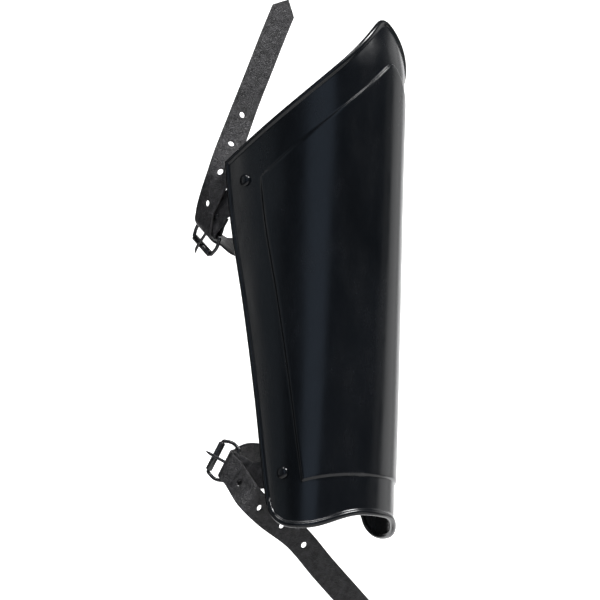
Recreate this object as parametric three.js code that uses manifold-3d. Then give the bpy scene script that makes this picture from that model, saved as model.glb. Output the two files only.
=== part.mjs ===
// A plate greave: one bent steel sheet with a rolled edge and a raised middle panel,
// and two buckled leather straps that close it behind the calf.
// Millimetres, +Z up the shin, -Y out of its front. The origin lies on the inner face
// of the panel, in the middle of its height, where the shin bears.

import * as THREE from 'three';
import * as BufferGeometryUtils from 'three/addons/utils/BufferGeometryUtils.js';
import Module from 'manifold-3d';

// Clearances
const SEAT_GAP = 0.3;
const TURN_CLEARANCE = 0.9;

// Shell
const SHELL_HEIGHT = 416.5;
const FOOT_HALF_WIDTH = 57;
const KNEE_HALF_WIDTH = 67;
const FOOT_DEPTH = 60.5;
const KNEE_DEPTH = 125.5;
const SECTION_POWER = 2.1;
const FRONT_LEAN = 20.5;
const FRONT_BOW = 1.5;
const KNEE_NOD = 12;
const KNEE_NOD_HEIGHT = 46;
const KNEE_NOD_POWER = 1.5;
const SHEET = 1.2;
const EDGE_ROLL_RADIUS = 2.5;
const KNEE_RIM_DROP = 113;
const KNEE_POINT_ROUNDING = 3.5;
const FOOT_ARCH_RISE = 11.2;
const LOBE_FROM_BACK = 31;
const LOBE_CORNER_HEIGHT = 25;
const LOBE_CORNER_POWER = 2.5;
const ARCH_POWER = 1.7;

// Raised panel
const PANEL_RAISE = 1.5;
const PANEL_STEP_WIDTH = 2.4;
const WING_BAND_WIDTH = 34;
const KNEE_BAND_HEIGHT = 40;
const FOOT_BAND_HEIGHT = 30.5;
const PANEL_KNEE_LIFT = 3;
const PANEL_FOOT_SAG = 7.2;
const PANEL_SAG_ANGLE = 1.17;
const PANEL_CORNER_RAISE = 0.15;
const PANEL_CORNER_FADE = 42;

// Rivets that hold the straps to the wings
const RIVET_FROM_BACK = 20;
const UPPER_RIVET_BELOW_KNEE = 131.75;
const LOWER_RIVET_ABOVE_FOOT = 44.75;
const RIVET_HEAD_RADIUS = 5;
const RIVET_HEAD_HEIGHT = 2.6;
const RIVET_SHANK_RADIUS = 2;
const RIVET_BURR_RADIUS = 4;
const RIVET_BURR_HEIGHT = 1;

// Straps
const STRAP_WIDTH = 22;
const STRAP_THICKNESS = 2;
const STRAP_END_PAST_RIVET = 9;
const STRAP_TIP_LENGTH = 11;
const STRAP_HOLE_RADIUS = 2.6;
const STRAP_HOLE_PITCH = 28;
const STRAP_FREE_HOLES = 4;
const STRAP_FREE_LENGTH = 222;
const UPPER_FOLD_ANGLE = 30;
const LOWER_FOLD_ANGLE = -15;

// Buckles
const UPPER_BAR_BEHIND_BACK = 26.2;
const UPPER_BAR_OUTWARD = -5;
const UPPER_BAR_BELOW_RIVET = 33.5;
const UPPER_BUCKLE_DIP = 48;
const UPPER_BUCKLE_TURN = -5;
const LOWER_BAR_BEHIND_BACK = 30;
const LOWER_BAR_OUTWARD = 2;
const LOWER_BAR_ABOVE_RIVET = 9.8;
const LOWER_BUCKLE_DIP = -30;
const LOWER_BUCKLE_TURN = 18;
const BUCKLE_WIRE_RADIUS = 1.5;
const BUCKLE_SIDE_PLAY = 1.9;
const BUCKLE_WINDOW = 7.2;
const BUCKLE_ARM_BOW = 1.6;
const ROLLER_RADIUS = 2.75;
const ROLLER_WALL = 0.9;
const PRONG_RADIUS = 1.25;
const PRONG_OVERHANG = 7.5;
const FOLD_RIVET_FROM_BAR = 12;
const FOLD_PAST_RIVET = 4.4;
const FOLD_RIVET_RADIUS = 1.4;
const FOLD_RIVET_HEAD_RADIUS = 2.6;
const FOLD_RIVET_HEAD_HEIGHT = 1;

// Colours and finishes
const BLACKENED_STEEL = { color: 0x0b0d11, roughness: 0.22, metalness: 0.6 };
const BUCKLE_STEEL = { color: 0x08090b, roughness: 0.35, metalness: 0.5 };
const BLACK_LEATHER = { color: 0x17161a, roughness: 0.7, metalness: 0 };

const UPPER_RIVET_HEIGHT = SHELL_HEIGHT / 2 - UPPER_RIVET_BELOW_KNEE;
const LOWER_RIVET_HEIGHT = LOWER_RIVET_ABOVE_FOOT - SHELL_HEIGHT / 2;

const RIGHT_ANGLE = Math.PI / 2;
const NEAR = -1;
const FAR = 1;

// How deep the shell is at each share of its height: 0 is the foot's depth, 1 the knee's
const DEPTH_PROFILE = [
  { height: 0, depth: 0.015 },
  { height: 0.1, depth: 0.16 },
  { height: 0.27, depth: 0.355 },
  { height: 0.44, depth: 0.575 },
  { height: 0.61, depth: 0.82 },
  { height: 0.78, depth: 0.97 },
  { height: 0.87, depth: 1 },
  { height: 1, depth: 1.02 },
];

const wasm = await Module();
wasm.setup();

function clamp01(value) {
  return Math.min(1, Math.max(0, value));
}

function smoothStep(value) {
  const t = clamp01(value);
  return t * t * (3 - 2 * t);
}

// Smooth curve through a table of heights and depths
function profileDepth(height) {
  const last = DEPTH_PROFILE.length - 1;
  const found = DEPTH_PROFILE.findIndex((row) => row.height > height);
  const upper = found < 1 ? (found === 0 ? 1 : last) : found;
  const slopeAt = (index) => {
    const before = DEPTH_PROFILE[Math.max(0, index - 1)];
    const after = DEPTH_PROFILE[Math.min(last, index + 1)];
    return (after.depth - before.depth) / (after.height - before.height);
  };
  const a = DEPTH_PROFILE[upper - 1];
  const b = DEPTH_PROFILE[upper];
  const span = b.height - a.height;
  const t = clamp01((height - a.height) / span);
  const t2 = t * t;
  const t3 = t2 * t;
  return (2 * t3 - 3 * t2 + 1) * a.depth + (t3 - 2 * t2 + t) * span * slopeAt(upper - 1)
    + (3 * t2 - 2 * t3) * b.depth + (t3 - t2) * span * slopeAt(upper);
}

function heightShare(z) {
  return z / SHELL_HEIGHT + 0.5;
}

function halfWidth(z) {
  return FOOT_HALF_WIDTH + (KNEE_HALF_WIDTH - FOOT_HALF_WIDTH) * heightShare(z);
}

// Front line of the sheet beside the panel, before the knee end nods back over the shin
function straightFront(z) {
  const share = heightShare(z);
  const bow = FRONT_BOW * (1 - 4 * share * (1 - share));
  return PANEL_RAISE - SHEET - FRONT_LEAN * (share - 0.5) + bow;
}

function backLine(z) {
  return straightFront(z) + FOOT_DEPTH + (KNEE_DEPTH - FOOT_DEPTH) * profileDepth(heightShare(z));
}

function frontLine(z) {
  const into = (z - SHELL_HEIGHT / 2) / KNEE_NOD_HEIGHT + 1;
  return straightFront(z) + KNEE_NOD * Math.pow(Math.max(0, into), KNEE_NOD_POWER);
}

// Outer face of the sheet at an angle round the shin: 0 in front, a right angle at the back edges
function facePoint(angle, z) {
  const bend = 2 / SECTION_POWER;
  const round = Math.min(RIGHT_ANGLE, Math.abs(angle));
  const x = halfWidth(z) * Math.pow(Math.sin(round), bend) * Math.sign(angle);
  const back = backLine(z);
  return new THREE.Vector3(x, back - (back - frontLine(z)) * Math.pow(Math.cos(round), bend), z);
}

function faceNormal(angle, z) {
  const step = 0.002;
  const held = THREE.MathUtils.clamp(angle, step - RIGHT_ANGLE, RIGHT_ANGLE - step);
  const across = facePoint(held + step, z).sub(facePoint(held - step, z));
  const up = facePoint(held, z + 0.5).sub(facePoint(held, z - 0.5));
  return across.cross(up).normalize();
}

// Angle at which the wall lies a given distance in front of the back edge
function angleFromBack(distance, z) {
  const share = clamp01(distance / (backLine(z) - frontLine(z)));
  return Math.acos(Math.pow(share, SECTION_POWER / 2));
}

function rimHeight(angle) {
  const slope = (KNEE_RIM_DROP + KNEE_POINT_ROUNDING) / RIGHT_ANGLE;
  const rounded = Math.hypot(angle * slope, KNEE_POINT_ROUNDING);
  return SHELL_HEIGHT / 2 + KNEE_POINT_ROUNDING - rounded;
}

function kneeCreaseHeight(angle) {
  return rimHeight(angle) - KNEE_BAND_HEIGHT + PANEL_KNEE_LIFT * smoothStep(Math.abs(angle));
}

function footCreaseHeight(angle) {
  const sag = PANEL_FOOT_SAG * (Math.abs(angle) / PANEL_SAG_ANGLE) ** 3;
  return -SHELL_HEIGHT / 2 + FOOT_ARCH_RISE + FOOT_BAND_HEIGHT - sag;
}

// Foot edge: an arch in front, a lobe on each wing and a round corner to the back edge
function footHeight(angle, inset) {
  const bottom = -SHELL_HEIGHT / 2 + inset;
  const lobeAngle = angleFromBack(LOBE_FROM_BACK, -SHELL_HEIGHT / 2);
  const round = Math.abs(angle);
  if (round < lobeAngle) {
    const swing = (1 - Math.cos((Math.PI * round) / lobeAngle)) / 2;
    return bottom + FOOT_ARCH_RISE * (1 - Math.pow(swing, ARCH_POWER));
  }
  const fromBack = backLine(bottom) - facePoint(round, bottom).y;
  const out = clamp01((LOBE_FROM_BACK - fromBack) / (LOBE_FROM_BACK - inset));
  const rise = 1 - Math.pow(1 - Math.pow(out, LOBE_CORNER_POWER), 1 / LOBE_CORNER_POWER);
  return bottom + (LOBE_CORNER_HEIGHT - inset) * rise;
}

// Columns of the wall, from one back edge to the other
const WING_SHARES = [0, 0.05, 0.12, 0.22, 0.36, 0.54, 0.76, 1];
const PANEL_COLUMNS = 16;
const ROLL_FACETS = 8;
const FOOT_BAND_ROWS = 3;
const PANEL_ROWS = 10;
const KNEE_BAND_ROWS = 4;

function rollReach() {
  return EDGE_ROLL_RADIUS * (1 + Math.cos(Math.asin(SHEET / 2 / EDGE_ROLL_RADIUS)));
}

function wallColumns() {
  const wing = WING_SHARES.map((share) => ({ wing: share, across: 1, side: NEAR }));
  const panel = [];
  for (let i = 0; i <= PANEL_COLUMNS; i += 1) {
    const across = (2 * i) / PANEL_COLUMNS - 1;
    panel.push({ wing: -1, across: Math.abs(across), side: Math.sign(across) || FAR });
  }
  const mirrored = wing.map((column) => ({ ...column, side: FAR })).reverse();
  return [...wing, ...panel, ...mirrored];
}

// Angle of a column at a height: wing columns keep their distance from the back edge
function columnAngle(column, z) {
  const inset = rollReach();
  if (column.wing >= 0) {
    const distance = inset + column.wing * (WING_BAND_WIDTH - inset);
    return column.side * angleFromBack(distance, z);
  }
  return column.side * column.across * angleFromBack(WING_BAND_WIDTH + PANEL_STEP_WIDTH, z);
}

// Height at which a column meets a line that is drawn by angle
function meetHeight(column, line) {
  let z = 0;
  for (let i = 0; i < 12; i += 1) {
    z = line(columnAngle(column, z));
  }
  return z;
}

// How much farther each step of angle reaches along the wall towards the back edges
const ARC_GROWTH = 0.5;

function rimInset(angle) {
  const reach = halfWidth(SHELL_HEIGHT / 2 - KNEE_RIM_DROP * Math.abs(angle / RIGHT_ANGLE));
  const slope = KNEE_RIM_DROP / RIGHT_ANGLE / (reach * (1 + Math.abs(angle) * ARC_GROWTH));
  return rollReach() * Math.hypot(1, slope);
}

function lineHeights(column) {
  return {
    foot: meetHeight(column, (angle) => footHeight(angle, rollReach())),
    footCrease: meetHeight(column, footCreaseHeight),
    kneeCrease: meetHeight(column, kneeCreaseHeight),
    rim: meetHeight(column, (angle) => rimHeight(angle) - rimInset(angle)),
  };
}

function rowSpread(from, to, count) {
  return Array.from({ length: count }, (_, i) => from + ((to - from) * i) / count);
}

function columnRows(lines) {
  const footStep = lines.footCrease + PANEL_STEP_WIDTH;
  const kneeStep = lines.kneeCrease - PANEL_STEP_WIDTH;
  return [
    ...rowSpread(lines.foot, lines.footCrease, FOOT_BAND_ROWS),
    lines.footCrease,
    ...rowSpread(footStep, kneeStep, PANEL_ROWS),
    kneeStep,
    ...rowSpread(lines.kneeCrease, lines.rim, KNEE_BAND_ROWS),
    lines.rim,
  ];
}

// Heights of every row in a column: a wing column keeps the shares of the panel's side line
function wallRows(column, sideShares) {
  const lines = lineHeights(column);
  if (column.wing < 0) {
    return columnRows(lines);
  }
  return sideShares.map((share) => lines.foot + (lines.rim - lines.foot) * share);
}

function panelSideShares() {
  const side = { wing: 1, across: 1, side: FAR };
  const lines = lineHeights(side);
  return columnRows(lines).map((z) => (z - lines.foot) / (lines.rim - lines.foot));
}

const FIRST_PANEL_ROW = FOOT_BAND_ROWS + 1;
const LAST_PANEL_ROW = FIRST_PANEL_ROW + PANEL_ROWS;

function panelRaise(column, row, point) {
  if (column.wing >= 0 || row < FIRST_PANEL_ROW || row > LAST_PANEL_ROW) {
    return 0;
  }
  const side = { wing: 1, across: 1, side: column.side };
  const cornerZ = meetHeight(side, kneeCreaseHeight);
  const corner = facePoint(columnAngle(side, cornerZ), cornerZ);
  const away = smoothStep(point.distanceTo(corner) / PANEL_CORNER_FADE);
  return PANEL_RAISE * (PANEL_CORNER_RAISE + (1 - PANEL_CORNER_RAISE) * away);
}

// Points and outward normals of the whole wall, row by row in each column
function wallGrid() {
  const sideShares = panelSideShares();
  return wallColumns().map((column) => wallRows(column, sideShares).map((z, row) => {
    const angle = columnAngle(column, z);
    const point = facePoint(angle, z);
    const normal = faceNormal(angle, z);
    point.addScaledVector(normal, panelRaise(column, row, point));
    return { point, normal };
  }));
}

const MITER_LIMIT = 0.6;

// The grid's border as one loop, with the way out of the sheet at each point
function borderLoop(grid) {
  const lastColumn = grid.length - 1;
  const lastRow = grid[0].length - 1;
  const loop = [];
  for (let c = 0; c < lastColumn; c += 1) loop.push([c, 0]);
  for (let r = 0; r < lastRow; r += 1) loop.push([lastColumn, r]);
  for (let c = lastColumn; c > 0; c -= 1) loop.push([c, lastRow]);
  for (let r = lastRow; r > 0; r -= 1) loop.push([0, r]);
  const pointAt = (i) => grid[loop[i][0]][loop[i][1]].point;
  return loop.map(([c, r], i) => {
    const here = pointAt(i);
    const ahead = pointAt((i + 1) % loop.length).clone().sub(here).normalize();
    const behind = here.clone().sub(pointAt((i + loop.length - 1) % loop.length)).normalize();
    const along = ahead.clone().add(behind).normalize();
    const miter = 1 / Math.max(MITER_LIMIT, along.dot(ahead));
    const normal = grid[c][r].normal;
    const out = along.clone().cross(normal).normalize().multiplyScalar(miter);
    return { column: c, row: r, point: here, normal, out };
  });
}

class MeshBuilder {
  constructor() {
    this.positions = [];
    this.triangles = [];
  }

  add(point) {
    this.positions.push(point.x, point.y, point.z);
    return this.positions.length / 3 - 1;
  }

  quad(a, b, c, d) {
    this.triangles.push(a, b, c, a, c, d);
  }

  geometry() {
    const geometry = new THREE.BufferGeometry();
    geometry.setAttribute('position', new THREE.Float32BufferAttribute(this.positions, 3));
    geometry.setIndex(this.triangles);
    return geometry;
  }
}

function shellGeometry() {
  const grid = wallGrid();
  const mesh = new MeshBuilder();
  const outer = grid.map((column) => column.map(({ point }) => mesh.add(point)));
  const inner = grid.map((column) => column.map(({ point, normal }) => (
    mesh.add(point.clone().addScaledVector(normal, -SHEET)))));
  for (let c = 0; c + 1 < grid.length; c += 1) {
    for (let r = 0; r + 1 < grid[0].length; r += 1) {
      mesh.quad(outer[c][r], outer[c + 1][r], outer[c + 1][r + 1], outer[c][r + 1]);
      mesh.quad(inner[c][r], inner[c][r + 1], inner[c + 1][r + 1], inner[c + 1][r]);
    }
  }
  const half = Math.asin(SHEET / 2 / EDGE_ROLL_RADIUS);
  const rings = borderLoop(grid).map(({ column, row, point, normal, out }) => {
    const middle = point.clone().addScaledVector(normal, -SHEET / 2);
    middle.addScaledVector(out, EDGE_ROLL_RADIUS * Math.cos(half));
    const ring = [outer[column][row]];
    for (let i = 1; i < ROLL_FACETS; i += 1) {
      const turn = Math.PI - half - (2 * (Math.PI - half) * i) / ROLL_FACETS;
      const rim = middle.clone().addScaledVector(out, EDGE_ROLL_RADIUS * Math.cos(turn));
      ring.push(mesh.add(rim.addScaledVector(normal, EDGE_ROLL_RADIUS * Math.sin(turn))));
    }
    return [...ring, inner[column][row]];
  });
  rings.forEach((ring, i) => {
    const next = rings[(i + 1) % rings.length];
    for (let k = 0; k < ROLL_FACETS; k += 1) {
      mesh.quad(ring[k], ring[k + 1], next[k + 1], next[k]);
    }
  });
  return mesh.geometry();
}

// Booleans
function toSolid(geometry) {
  const bare = geometry.clone();
  bare.deleteAttribute('normal');
  bare.deleteAttribute('uv');
  const merged = BufferGeometryUtils.mergeVertices(bare, 1e-4);
  return new wasm.Manifold(new wasm.Mesh({
    numProp: 3,
    vertProperties: new Float32Array(merged.attributes.position.array),
    triVerts: new Uint32Array(merged.index.array),
  }));
}

function solidGeometry(solid) {
  const result = solid.getMesh();
  const geometry = new THREE.BufferGeometry();
  geometry.setAttribute('position', new THREE.BufferAttribute(result.vertProperties, 3));
  geometry.setIndex(new THREE.BufferAttribute(result.triVerts, 1));
  return geometry;
}

function cutGeometry(body, cutters) {
  let solid = toSolid(body);
  for (const cutter of cutters) {
    solid = solid.subtract(toSolid(cutter));
  }
  return solidGeometry(solid);
}

// A turned body along an axis: each row is a radius and a distance along the axis
function turned(rows, seat, axis, sides) {
  const points = rows.map(([radius, along]) => new THREE.Vector2(radius, along));
  const geometry = new THREE.LatheGeometry(points, sides);
  const turn = new THREE.Quaternion().setFromUnitVectors(new THREE.Vector3(0, 1, 0), axis);
  geometry.applyQuaternion(turn);
  geometry.translate(seat.x, seat.y, seat.z);
  return geometry;
}

function drill(seat, axis, radius, reach) {
  return turned([[0, -reach], [radius, -reach], [radius, reach], [0, reach]], seat, axis, 12);
}

// A place on a wing: how far it lies in front of the back edge, its height, and how far it
// lies inside the outer face. A distance below zero runs on behind the back edge.
function wingPoint(side, fromBack, z, inside) {
  const angle = side * angleFromBack(Math.max(0, fromBack), z);
  const point = facePoint(angle, z).addScaledVector(faceNormal(angle, z), -inside);
  point.y += Math.max(0, -fromBack);
  return point;
}

// Rivets through the wings
const SEAT_INSIDE = SHEET + SEAT_GAP + STRAP_THICKNESS / 2;
const CLEAR_INSIDE = SHEET / 2 + EDGE_ROLL_RADIUS + 2 * SEAT_GAP + STRAP_THICKNESS / 2;

function rivetSeat(side, z) {
  const angle = side * angleFromBack(RIVET_FROM_BACK, z);
  return { seat: facePoint(angle, z), axis: faceNormal(angle, z) };
}

// The domed head, from its edge to its top, as shares of its radius and height
const RIVET_DOME = [
  { radius: 1, height: 0 },
  { radius: 0.9, height: 0.45 },
  { radius: 0.55, height: 0.85 },
  { radius: 0, height: 1 },
];

function rivetGeometry({ seat, axis }) {
  const tail = -(SHEET + 3 * SEAT_GAP + STRAP_THICKNESS);
  const dome = RIVET_DOME.map(({ radius, height }) => (
    [RIVET_HEAD_RADIUS * radius, SEAT_GAP + RIVET_HEAD_HEIGHT * height]));
  const rows = [
    [0, tail - RIVET_BURR_HEIGHT],
    [RIVET_BURR_RADIUS, tail - RIVET_BURR_HEIGHT],
    [RIVET_BURR_RADIUS, tail],
    [RIVET_SHANK_RADIUS, tail],
    [RIVET_SHANK_RADIUS, SEAT_GAP],
    ...dome,
  ];
  return turned(rows, seat, axis, 14);
}

// The straps' levels over the heel bar of a buckle
const FOLD_RADIUS = BUCKLE_WIRE_RADIUS + SEAT_GAP + STRAP_THICKNESS / 2;
const FOLD_PINCH = STRAP_THICKNESS / 2 + SEAT_GAP / 2;
const TURN_RADIUS = FOLD_RADIUS + STRAP_THICKNESS + TURN_CLEARANCE;
const ROLLER_DISTANCE = TURN_RADIUS + STRAP_THICKNESS / 2 + BUCKLE_WINDOW + ROLLER_RADIUS;
const FRAME_HALF_WIDTH = STRAP_WIDTH / 2 + BUCKLE_SIDE_PLAY + BUCKLE_WIRE_RADIUS;

// A buckle's own frame, at the middle of its heel bar: across runs along the bar,
// ahead points to the roller and out points away from the leg
function buckleFrame({ behind, outward, height, dip, turn }) {
  const turnAngle = THREE.MathUtils.degToRad(turn);
  const dipAngle = THREE.MathUtils.degToRad(dip);
  const out = new THREE.Vector3(-Math.cos(turnAngle), -Math.sin(turnAngle), 0);
  const level = new THREE.Vector3(-Math.sin(turnAngle), Math.cos(turnAngle), 0);
  const ahead = level.multiplyScalar(Math.cos(dipAngle));
  ahead.z = -Math.sin(dipAngle);
  const across = out.clone().cross(ahead);
  const x = -(halfWidth(height) + outward);
  const origin = new THREE.Vector3(x, backLine(height) + behind, height);
  const at = (aheadBy, outBy, acrossBy = 0) => origin.clone()
    .addScaledVector(ahead, aheadBy)
    .addScaledVector(out, outBy)
    .addScaledVector(across, acrossBy);
  return { origin, out, ahead, across, at };
}

const UPPER_BUCKLE = buckleFrame({
  behind: UPPER_BAR_BEHIND_BACK,
  outward: UPPER_BAR_OUTWARD,
  height: UPPER_RIVET_HEIGHT - UPPER_BAR_BELOW_RIVET,
  dip: UPPER_BUCKLE_DIP,
  turn: UPPER_BUCKLE_TURN,
});

const LOWER_BUCKLE = buckleFrame({
  behind: LOWER_BAR_BEHIND_BACK,
  outward: LOWER_BAR_OUTWARD,
  height: LOWER_RIVET_HEIGHT + LOWER_BAR_ABOVE_RIVET,
  dip: LOWER_BUCKLE_DIP,
  turn: LOWER_BUCKLE_TURN,
});

// A closed wire loop with a round section, in the plane of the buckle
function wireLoop(frame, outline, radius, sides) {
  const mesh = new MeshBuilder();
  const rings = outline.map(([acrossBy, aheadBy], i) => {
    const before = outline[(i + outline.length - 1) % outline.length];
    const after = outline[(i + 1) % outline.length];
    const along = new THREE.Vector2(after[0] - before[0], after[1] - before[1]).normalize();
    return Array.from({ length: sides }, (_, k) => {
      const turn = (2 * Math.PI * k) / sides;
      const aside = radius * Math.cos(turn);
      const place = frame.at(aheadBy - along.x * aside, radius * Math.sin(turn),
        acrossBy + along.y * aside);
      return mesh.add(place);
    });
  });
  rings.forEach((ring, i) => {
    const next = rings[(i + 1) % rings.length];
    for (let k = 0; k < sides; k += 1) {
      const k2 = (k + 1) % sides;
      mesh.quad(ring[k], ring[k2], next[k2], next[k]);
    }
  });
  return mesh.geometry();
}

function buckleOutline() {
  const corner = BUCKLE_WIRE_RADIUS + SEAT_GAP;
  const outline = [];
  const cornerAt = (acrossBy, aheadBy, start) => {
    for (let i = 0; i <= 3; i += 1) {
      const turn = start + (RIGHT_ANGLE * i) / 3;
      outline.push([acrossBy + corner * Math.cos(turn), aheadBy + corner * Math.sin(turn)]);
    }
  };
  const armAt = (side) => {
    for (let i = 1; i < 6; i += 1) {
      const share = side > 0 ? i / 6 : 1 - i / 6;
      const bow = BUCKLE_ARM_BOW * Math.sin(Math.PI * share);
      outline.push([side * (FRAME_HALF_WIDTH + bow), corner + share * (ROLLER_DISTANCE - 2 * corner)]);
    }
  };
  const reach = FRAME_HALF_WIDTH - corner;
  cornerAt(reach, corner, -RIGHT_ANGLE);
  armAt(1);
  cornerAt(reach, ROLLER_DISTANCE - corner, 0);
  cornerAt(-reach, ROLLER_DISTANCE - corner, RIGHT_ANGLE);
  armAt(-1);
  cornerAt(-reach, corner, Math.PI);
  return outline;
}

function rollerGeometry(frame) {
  const half = FRAME_HALF_WIDTH - BUCKLE_WIRE_RADIUS - 2 * SEAT_GAP;
  const bore = ROLLER_RADIUS - ROLLER_WALL;
  const rows = [[bore, -half], [ROLLER_RADIUS, -half], [ROLLER_RADIUS, half], [bore, half], [bore, -half]];
  return turned(rows, frame.at(ROLLER_DISTANCE, 0), frame.across, 16);
}

// The prong: a flat eye round the heel bar and a rod that lies over the roller
const PRONG_EYE_WALL = STRAP_THICKNESS;
const PRONG_START = BUCKLE_WIRE_RADIUS + SEAT_GAP + PRONG_EYE_WALL - PRONG_RADIUS;
const PRONG_REST = ROLLER_RADIUS + SEAT_GAP + PRONG_RADIUS;

function prongRod(frame, radius, from, to) {
  const rise = (PRONG_REST - PRONG_START) / ROLLER_DISTANCE;
  const start = frame.at(from, PRONG_START + rise * from);
  const axis = frame.at(to, PRONG_START + rise * to).sub(start);
  const length = axis.length();
  const tip = radius * 0.6;
  const rows = [[0, 0], [radius, 0], [radius, length - tip], [radius * 0.6, length], [0, length]];
  return turned(rows, start, axis.normalize(), 10);
}

function prongGeometry(frame) {
  const inner = BUCKLE_WIRE_RADIUS + SEAT_GAP;
  const outer = inner + PRONG_EYE_WALL;
  const rows = [
    [inner, -PRONG_RADIUS],
    [outer, -PRONG_RADIUS],
    [outer, PRONG_RADIUS],
    [inner, PRONG_RADIUS],
    [inner, -PRONG_RADIUS],
  ];
  const eye = turned(rows, frame.at(0, 0), frame.across, 16);
  const rod = prongRod(frame, PRONG_RADIUS, 0, ROLLER_DISTANCE + PRONG_OVERHANG);
  const bore = drill(frame.origin, frame.across, inner, 2 * PRONG_RADIUS);
  return cutGeometry(solidGeometry(toSolid(eye).add(toSolid(rod))), [bore]);
}

// Straps: a band swept along a smooth line, with its width turned from place to place
const STRAP_STEP = 8.5;

function bandSamples(stations) {
  const line = new THREE.CatmullRomCurve3(stations.map((station) => station.point), false, 'centripetal');
  const widths = new THREE.CatmullRomCurve3(stations.map((station) => station.width), false, 'catmullrom');
  const spans = stations.length - 1;
  const samples = [];
  for (let i = 0; i < spans; i += 1) {
    const length = stations[i].point.distanceTo(stations[i + 1].point);
    const steps = Math.max(1, Math.round(length / STRAP_STEP));
    for (let k = 0; k < steps; k += 1) {
      samples.push((i + k / steps) / spans);
    }
  }
  samples.push(1);
  return samples.map((t) => {
    const along = line.getTangent(t);
    const width = widths.getPoint(t);
    width.addScaledVector(along, -width.dot(along)).normalize();
    return { point: line.getPoint(t), along, width, face: along.clone().cross(width) };
  });
}

// Distance along the band at each sample
function bandLengths(samples) {
  let total = 0;
  return samples.map(({ point }, i) => {
    total += i === 0 ? 0 : point.distanceTo(samples[i - 1].point);
    return total;
  });
}

// A band is a grid of rows: each row is a list of places across it, with the way out of its face
const BAND_CELLS = 2;

function bandMesh(rows) {
  const mesh = new MeshBuilder();
  const half = STRAP_THICKNESS / 2;
  const layer = (side) => rows.map((row) => row.map(({ point, face }) => (
    mesh.add(point.clone().addScaledVector(face, side * half)))));
  const top = layer(1);
  const under = layer(-1);
  const last = rows.length - 1;
  for (let i = 0; i < last; i += 1) {
    for (let k = 0; k < BAND_CELLS; k += 1) {
      mesh.quad(top[i][k], top[i + 1][k], top[i + 1][k + 1], top[i][k + 1]);
      mesh.quad(under[i][k], under[i][k + 1], under[i + 1][k + 1], under[i + 1][k]);
    }
    mesh.quad(under[i][0], under[i + 1][0], top[i + 1][0], top[i][0]);
    mesh.quad(top[i][BAND_CELLS], top[i + 1][BAND_CELLS], under[i + 1][BAND_CELLS], under[i][BAND_CELLS]);
  }
  for (let k = 0; k < BAND_CELLS; k += 1) {
    mesh.quad(under[0][k], top[0][k], top[0][k + 1], under[0][k + 1]);
    mesh.quad(under[last][k], under[last][k + 1], top[last][k + 1], top[last][k]);
  }
  return mesh.geometry();
}

function bandRow(sample, halfAcross) {
  return Array.from({ length: BAND_CELLS + 1 }, (_, k) => {
    const w = halfAcross * ((2 * k) / BAND_CELLS - 1);
    return { point: sample.point.clone().addScaledVector(sample.width, w), face: sample.face };
  });
}

// How far inside the outer face a strap's middle lies: on the sheet, then over the rolled edge
function strapInside(fromBack) {
  const from = RIVET_FROM_BACK - 2 * RIVET_BURR_RADIUS;
  const rise = smoothStep((from - fromBack) / (from - EDGE_ROLL_RADIUS));
  return SEAT_INSIDE + (CLEAR_INSIDE - SEAT_INSIDE) * rise;
}

// Where the strap lies on its wing, from its end past the rivet to beyond the rolled edge.
// Each station turns with the wall below the strap's two edges.
function wingStations(side, rivetZ, edgeZ) {
  const slope = (edgeZ - rivetZ) / RIVET_FROM_BACK;
  const run = Math.hypot(1, slope);
  const on = (y, z) => wingPoint(side, backLine(z) - y, z, strapInside(backLine(z) - y));
  const place = (fromBack) => {
    const z = rivetZ + slope * (RIVET_FROM_BACK - fromBack);
    const y = backLine(z) - fromBack;
    const up = STRAP_WIDTH / 2 / run;
    const upper = on(y - slope * up, z + up);
    const lower = on(y + slope * up, z - up);
    const middle = on(y, z);
    const chord = upper.clone().lerp(lower, 0.5);
    const point = Math.abs(middle.x) < Math.abs(chord.x) ? middle : chord;
    return { point, width: upper.sub(lower).normalize() };
  };
  const past = STRAP_END_PAST_RIVET / run;
  const flat = RIVET_FROM_BACK - RIVET_BURR_RADIUS;
  const mid = (flat + 2 * EDGE_ROLL_RADIUS) / 2;
  const wing = [RIVET_FROM_BACK + past, RIVET_FROM_BACK, flat, mid];
  const beyond = [2 * EDGE_ROLL_RADIUS, -EDGE_ROLL_RADIUS];
  return [...wing, ...beyond].map(place);
}

// Height at which a buckle's own strap crosses the back edge
function edgeCrossing(frame, rivetZ) {
  const rivet = rivetSeat(NEAR, rivetZ).seat;
  const fold = frame.at(-FOLD_RIVET_FROM_BAR - FOLD_PAST_RIVET - STRAP_THICKNESS, FOLD_PINCH);
  const share = RIVET_FROM_BACK / (fold.y - rivet.y);
  return rivetZ + (fold.z - rivetZ) * share;
}

function buckleStrapSamples(frame, rivetZ) {
  const width = frame.across.clone().negate();
  const fold = FOLD_RIVET_FROM_BAR;
  const stations = wingStations(NEAR, rivetZ, edgeCrossing(frame, rivetZ));
  const local = (aheadBy, outBy) => stations.push({ point: frame.at(aheadBy, outBy), width });
  const pinched = FOLD_RIVET_HEAD_RADIUS + SEAT_GAP - fold;
  local(-fold - FOLD_PAST_RIVET - STRAP_THICKNESS, FOLD_PINCH);
  local(-fold, FOLD_PINCH);
  local(pinched, FOLD_PINCH);
  local(-fold / 3, FOLD_RADIUS - SEAT_GAP);
  for (let i = 0; i <= 6; i += 1) {
    const turn = (Math.PI * i) / 6;
    local(FOLD_RADIUS * Math.sin(turn), FOLD_RADIUS * Math.cos(turn));
  }
  local(-fold / 3, SEAT_GAP - FOLD_RADIUS);
  local(pinched, -FOLD_PINCH);
  local(-fold, -FOLD_PINCH);
  local(-fold - FOLD_PAST_RIVET, -FOLD_PINCH);
  return bandSamples(stations);
}

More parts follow.
